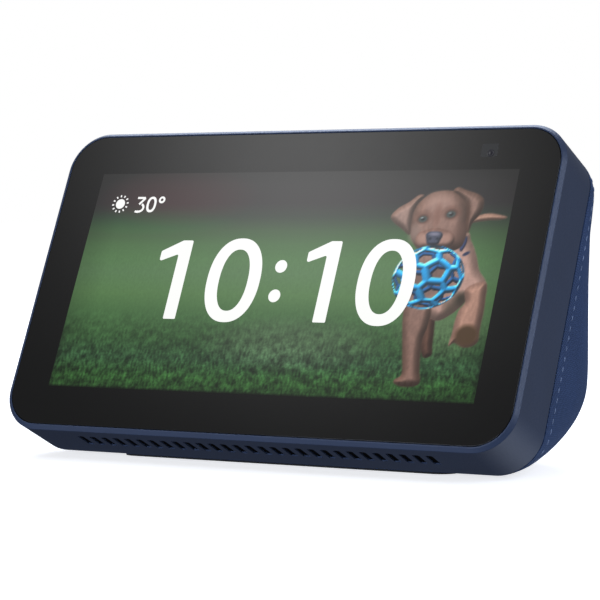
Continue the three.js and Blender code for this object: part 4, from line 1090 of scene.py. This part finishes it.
TOP_Y, TOP_Z = top_arc()


def back_y(z):
    """Y of the back at a height: the lower rounding, the leaning wall, the upper rounding, the roof."""
    low = ARC_Y + np.sqrt(np.clip(LOW_R**2 - (z - ARC_Z) ** 2, 0, None))
    wall = ARC_Y + LOW_R * COS_L - (z - ARC_Z - LOW_R * SIN_L) * SIN_L / COS_L
    high = TOP_Y + np.sqrt(np.clip(TOP_R**2 - (z - TOP_Z) ** 2, 0, None))
    roof = FACE_Y + (HALF_H - (z - FACE_Z) * COS_T) / SIN_T
    limits = [z < ARC_Z + LOW_R * SIN_L, z < TOP_Z + TOP_R * SIN_L, z < TOP_Z + TOP_R * COS_T]
    return np.select(limits, [low, wall, high], roof)


def drawn_in(radius, distance):
    """How far a quarter round has drawn in, at a distance from its far edge."""
    left = np.clip(radius - distance, 0, radius)
    return radius - np.sqrt(radius**2 - left**2)


def side_x(y, z):
    """X of the side: the half width, less the lower rounding, which grows from the band's corner
    to the base's, and less the upper corner."""
    rise = z - FOOT_RISE
    share = np.clip((y - seam_y(z, -BAND_DEPTH)) / SIDE_RUN, 0, 1)
    share = share * share * (3 - 2 * share)
    bottom = drawn_in(FACE_CORNER, rise / COS_T) * (1 - share) + drawn_in(LOW_R, rise) * share
    slope = (y - FACE_Y) * SIN_T + (z - FACE_Z) * COS_T
    return HALF_W - bottom - drawn_in(FACE_CORNER, HALF_H - slope)


def cover_grid(rows=110, side=30, turn=16, flat=24):
    """The cover's outer surface. A row is a level line from the seam along the side, round an
    upright corner and over the bowed back, and a column climbs from the bottom to the ridge."""
    ridge = FACE_Z + HALF_H * COS_T + SEAM * SIN_T
    share = (1 - np.cos(np.linspace(0, math.pi, rows))) / 2
    z = (FOOT_RISE + (ridge - 0.02 - FOOT_RISE) * share)[:, None]
    front, back = seam_y(z, SEAM), back_y(z)
    depth = back - seam_y(z, -BAND_DEPTH)
    crown = np.minimum(CROWN, depth / 10)
    room = np.maximum(back - crown - front, 0.01)
    corner = np.minimum(BACK_CORNER + BACK_CORNER_SHARE * depth, 0.9 * room)
    corner_y = back - crown - corner
    run = np.linspace(0, 1, side)[None]
    angle = np.linspace(0, math.pi / 2, turn + 1)[None, 1:]
    y_side = front + (corner_y - front) * run
    y_turn = corner_y + corner * np.sin(angle)
    x_side = side_x(y_side, z)
    x_turn = side_x(y_turn, z) - corner * (1 - np.cos(angle))
    across = np.linspace(1, 0, flat + 1)[None, 1:]
    x_flat = x_turn[:, -1:] * across
    y_flat = back - crown * across**2
    x = np.concatenate([x_side, x_turn, x_flat], 1)
    y = np.concatenate([y_side, y_turn, y_flat], 1)
    x = np.concatenate([x, -x[:, -2::-1]], 1)
    y = np.concatenate([y, y[:, -2::-1]], 1)
    return np.stack([x, y, np.broadcast_to(z, x.shape)], -1)


def run_length(points, axis):
    """Distance along rows or columns of a grid from their first point."""
    step = np.linalg.norm(np.diff(points, axis=axis), axis=-1)
    return np.insert(np.cumsum(step, axis), 0, 0, axis)


def footprint():
    """The opening for the base, a rectangle with small front and large back corners, as points
    evenly spaced round it."""
    low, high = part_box("base_plate")
    wide, front, back = high.x / MM, low.y / MM, high.y / MM
    near, far = BASE_CORNERS
    loop = carried(corner_path([
        (wide - far, back - far, far), (far - wide, back - far, far),
        (near - wide, front + near, near), (wide - near, front + near, near),
    ]), np.array([[0.0, FOOT_RISE]]))[0]
    loop = np.concatenate([loop, loop[:1]])
    walked = run_length(loop, 0)
    at = np.linspace(0, walked[-1], BASE_POINTS, endpoint=False)
    return np.stack([np.interp(at, walked, loop[:, k]) for k in range(2)], -1)


def cover():
    """The cover's grid and a rim under it that runs in to the base's opening. The rim's inner
    edge is the opening's outline at the same bearing from the middle as each outer point. With
    them come each point's place on the cloth and each row's share of the full thickness, which
    falls off near the top, where the cover runs out to its hem."""
    outer = cover_grid()
    low = outer[0]
    straight = low[-1] + (low[0] - low[-1]) * np.linspace(0, 1, 40)[1:-1, None]
    loop = np.concatenate([low, straight])
    hole = footprint()
    middle = np.array([0.0, (hole[:, 1].min() + hole[:, 1].max()) / 2])
    bearing = np.arctan2(hole[:, 1] - middle[1], hole[:, 0])
    order = np.argsort(bearing)
    reach = np.linalg.norm(hole - middle, axis=1)
    wanted = np.arctan2(loop[:, 1] - middle[1], loop[:, 0])
    distance = np.interp(wanted, bearing[order], reach[order], period=2 * math.pi)
    inner = np.stack([
        distance * np.cos(wanted), middle[1] + distance * np.sin(wanted),
        np.full(len(wanted), FOOT_RISE),
    ], -1)
    rows, columns = outer.shape[:2]
    points = np.concatenate([outer.reshape(-1, 3), straight, inner])
    first = rows * columns
    rim = np.concatenate([np.arange(columns), first + np.arange(len(straight))])
    under = first + len(straight) + np.arange(len(inner))
    faces = grid_faces(rows, columns)
    ring = np.stack([under, np.roll(under, -1), np.roll(rim, -1), rim], -1)
    around = run_length(outer, 1)
    around = around - around[:, columns // 2][:, None]
    up = run_length(outer, 0)
    flat = np.concatenate([straight, inner])[:, :2]
    yarn = np.concatenate([np.stack([around, up], -1).reshape(-1, 2), flat])
    thin = np.clip((outer[-1, 0, 2] - outer[:, 0, 2]) / HEM_HEIGHT, HEM_SHARE, 1)
    return points, faces + ring.tolist(), yarn, thin


def cover_piece():
    """The cover as one cloth shell with its opening for the socket panel."""
    points, faces, yarn, thin = cover()
    made = piece("knit_cover", (points, faces), cover_knit, 40.0, closed=False)
    made.modifiers.clear()
    layer = made.data.uv_layers.new(name="yarn")
    corner_points = np.zeros(len(made.data.loops), int)
    made.data.loops.foreach_get("vertex_index", corner_points)
    layer.data.foreach_set("uv", yarn[corner_points].astype(np.float32).ravel())
    hem = made.vertex_groups.new(name="hem")
    columns = cover_grid().shape[1]
    for row, share in enumerate(thin):
        hem.add(range(row * columns, (row + 1) * columns), float(share), "REPLACE")
    hem.add(range(len(thin) * columns, len(points)), 1.0, "REPLACE")
    wall = made.modifiers.new("thickness", "SOLIDIFY")
    wall.thickness = COVER * MM
    wall.offset = -1
    wall.vertex_group = hem.name
    applied(made)
    wide, high, middle = PANEL
    beyond, within = -HALF_DEPTH - 9, -20
    opening = slab(rectangle_path(wide, high, 1.2, (0, middle), 8), beyond, within, 0.02, 1)
    across, up, depth = opening[0].T
    cut(made, (np.stack([across, -depth, up], -1), opening[1]), 40.0)
    return made


knit_cover = cover_piece()
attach(knit_cover, "body")
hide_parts("fabric_cover")


def stitches(setback=3.2, pitch=2.7, length=1.5, radius=0.2, stations=9, sides=6):
    """The seam's thread: short rounded rolls laid on the cover, end to end with gaps, at an equal
    distance behind the band. Each roll is a ring carried along its stations, thin at its ends."""
    grid = cover_grid()
    near = 40
    back = run_length(grid[:, :near], 1)
    rows = np.arange(len(grid))
    column = np.clip((back < setback).sum(1) - 1, 0, near - 2)
    gone = back[rows, column]
    share = (setback - gone) / np.maximum(back[rows, column + 1] - gone, 1e-6)
    line = grid[rows, column] * (1 - share[:, None]) + grid[rows, column + 1] * share[:, None]
    line = line[(back[:, -1] > setback + 2) & (line[:, 2] > 4)]
    mirrored = line[::-1] * np.array([-1, 1, 1])
    walked = run_length(line, 0)
    count = int(walked[-1] // pitch)
    start_at = (np.arange(count) * pitch)[:, None]
    along = start_at + np.linspace(0, length, stations)[None]
    thin = radius * np.sqrt(np.clip(1 - np.linspace(-1, 1, stations) ** 2, 0.02, 1))
    angle = (np.arange(sides) * 2 * math.pi / sides)[None, None, :, None]
    faces = tube_faces(stations, sides)
    parts = []
    for path in (line, mirrored[::-1]):
        at = np.stack([np.interp(along, walked, path[:, k]) for k in range(3)], -1)
        way = np.gradient(at, axis=1)
        way /= np.linalg.norm(way, axis=-1, keepdims=True)
        side = np.cross(way, np.array([0.0, 1.0, 0.0]))
        side /= np.linalg.norm(side, axis=-1, keepdims=True)
        other = np.cross(side, way)
        ring = side[:, :, None] * np.cos(angle) + other[:, :, None] * np.sin(angle)
        points = at[:, :, None] + thin[None, :, None, None] * ring
        parts += [(points[k].reshape(-1, 3), faces) for k in range(count)]
    return together(parts)


seam_stitches = piece("seam_stitches", stitches(), seam_thread, 60.0)
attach(seam_stitches, "body")

# ------------------------------------------------------------------ floor, light and camera
floor_look, floor_tree = start("matt pale studio floor")
floor_place = node(floor_tree, "ShaderNodeTexCoord").outputs["Object"]
floor_tone = two_tones(floor_tree, floor_place, 1.5, "#f3f3f3", "#f7f7f7")[1]
# Away from the object the sweep glows evenly white. Nearer the object it glows less, a painted shade
# round it, and the faint cast shadow of the lamps shows there too.
floor_reach = node(floor_tree, "ShaderNodeVectorMath", {"operation": "LENGTH"}, {0: floor_place})
floor_glow_with_painted_shade = node(floor_tree, "ShaderNodeMapRange", {"interpolation_type": "SMOOTHSTEP"}, {
    "Value": floor_reach.outputs["Value"], "From Min": 0.1, "From Max": 0.6, "To Min": 0.72,
    "To Max": 0.95,
})
finish_look(floor_look, {
    "Base Color": floor_tone, "Roughness": 0.9, "Specular IOR Level": 0.1,
    "Emission Color": (1.0, 1.0, 1.0, 1.0), "Emission Strength": floor_glow_with_painted_shade.outputs[0],
})
FLOOR_REACH = 30000.0
corners = np.array([(-1, -1, 0), (1, -1, 0), (1, 1, 0), (-1, 1, 0)], float) * FLOOR_REACH
floor = piece("floor", (corners, [[0, 1, 2, 3]]), floor_look, closed=False)
floor.visible_diffuse = False
floor.visible_glossy = False


# The lamps are a little cool, and aim at the object's middle.
AIM = Vector((0, 0, 0.04))
COOL = linear("#dbe7ff")[:3]


def area_light(name, place, size, power):
    """A soft box at a place in metres, aimed at the object's middle."""
    lamp = bpy.data.lights.new(name, "AREA")
    lamp.shape = "RECTANGLE"
    lamp.size, lamp.size_y = size
    lamp.energy = power
    lamp.color = COOL
    stand = bpy.data.objects.new(name, lamp)
    stand.location = place
    stand.rotation_euler = (AIM - Vector(place)).to_track_quat("-Z", "Y").to_euler()
    bpy.context.scene.collection.objects.link(stand)


area_light("overhead_softbox", (-0.38, 0.55, 0.88), (1.0, 0.7), 11.0)
area_light("front_fill", (-0.1, -1.3, 0.16), (1.2, 0.25), 10.0)
area_light("right_softbox", (0.9, -0.4, 0.65), (0.5, 0.5), 3.7)
area_light("back_strip", (0.95, 0.6, 0.45), (0.25, 0.7), 2.2)

# A white lamp high in front on the left, and what the pale floor throws back from two sides. Each
# has its direction, the power that its cosine is raised to, and its colour.
GLOWS = (
    ((-0.4918, -0.5352, 0.6854), 370.0, (2.3, 2.3, 2.3)),
    ((-0.5, -0.72, -0.45), 10.0, tuple(0.9 * c for c in COOL)),
    ((0.45, 0.56, -0.69), 8.0, tuple(1.4 * c for c in COOL)),
)


def studio_world():
    """White to the camera. To the object it is a room, pale above and dim below, with the glows
    added to it. The leaning glass mirrors the first of them."""
    world = bpy.data.worlds.new("studio")
    bpy.context.scene.world = world
    world.use_nodes = True
    tree = world.node_tree
    tree.nodes.clear()
    way = node(tree, "ShaderNodeTexCoord").outputs["Generated"]
    height = node(tree, "ShaderNodeSeparateXYZ", None, {0: way}).outputs["Z"]
    room = node(tree, "ShaderNodeMapRange", {"interpolation_type": "SMOOTHSTEP"}, {
        "Value": height, "From Min": -0.35, "From Max": 0.6, "To Min": 0.06, "To Max": 0.22,
    })
    total = room.outputs[0]
    for side, power, colour in GLOWS:
        facing = node(tree, "ShaderNodeVectorMath", {"operation": "DOT_PRODUCT"}, {
            0: way, 1: Vector(side).normalized(),
        })
        front = node(tree, "ShaderNodeMath", {"operation": "MAXIMUM"}, {
            0: facing.outputs["Value"], 1: 0.0,
        })
        patch = node(tree, "ShaderNodeMath", {"operation": "POWER"}, {
            0: front.outputs[0], 1: power,
        })
        total = node(tree, "ShaderNodeVectorMath", {"operation": "MULTIPLY_ADD"}, {
            0: patch.outputs[0], 1: colour, 2: total,
        }).outputs[0]
    seen = node(tree, "ShaderNodeLightPath").outputs["Is Camera Ray"]
    colour = node(tree, "ShaderNodeMix", {"data_type": "RGBA"}, {
        0: seen, 6: total, 7: (1.0, 1.0, 1.0, 1.0),
    })
    sky = node(tree, "ShaderNodeBackground", None, {"Color": colour.outputs[2], "Strength": 1.0})
    node(tree, "ShaderNodeOutputWorld", None, {"Surface": sky.outputs[0]})


studio_world()

# The camera stands in front towards +X, lower than the object's top, and looks a little down. Its
# ways are made square to each other.
camera = bpy.data.objects.new("camera", bpy.data.cameras.new("camera"))
bpy.context.scene.collection.objects.link(camera)
camera.data.sensor_width = 36.0
camera.data.lens = 137.1
right_way = Vector((0.8683, 0.4961, -0.0005)).normalized()
view_way = Vector((-0.4958, 0.8677, -0.0351)).normalized()
right_way = (right_way - view_way * right_way.dot(view_way)).normalized()
up_way = right_way.cross(view_way)
turn = Matrix((right_way, up_way, -view_way)).transposed().to_4x4()
camera.matrix_world = Matrix.Translation(Vector((294.01, -520.5, 62.58)) * MM) @ turn
bpy.context.scene.camera = camera
bpy.context.scene.view_settings.view_transform = "Standard"

bpy.context.view_layer.update()
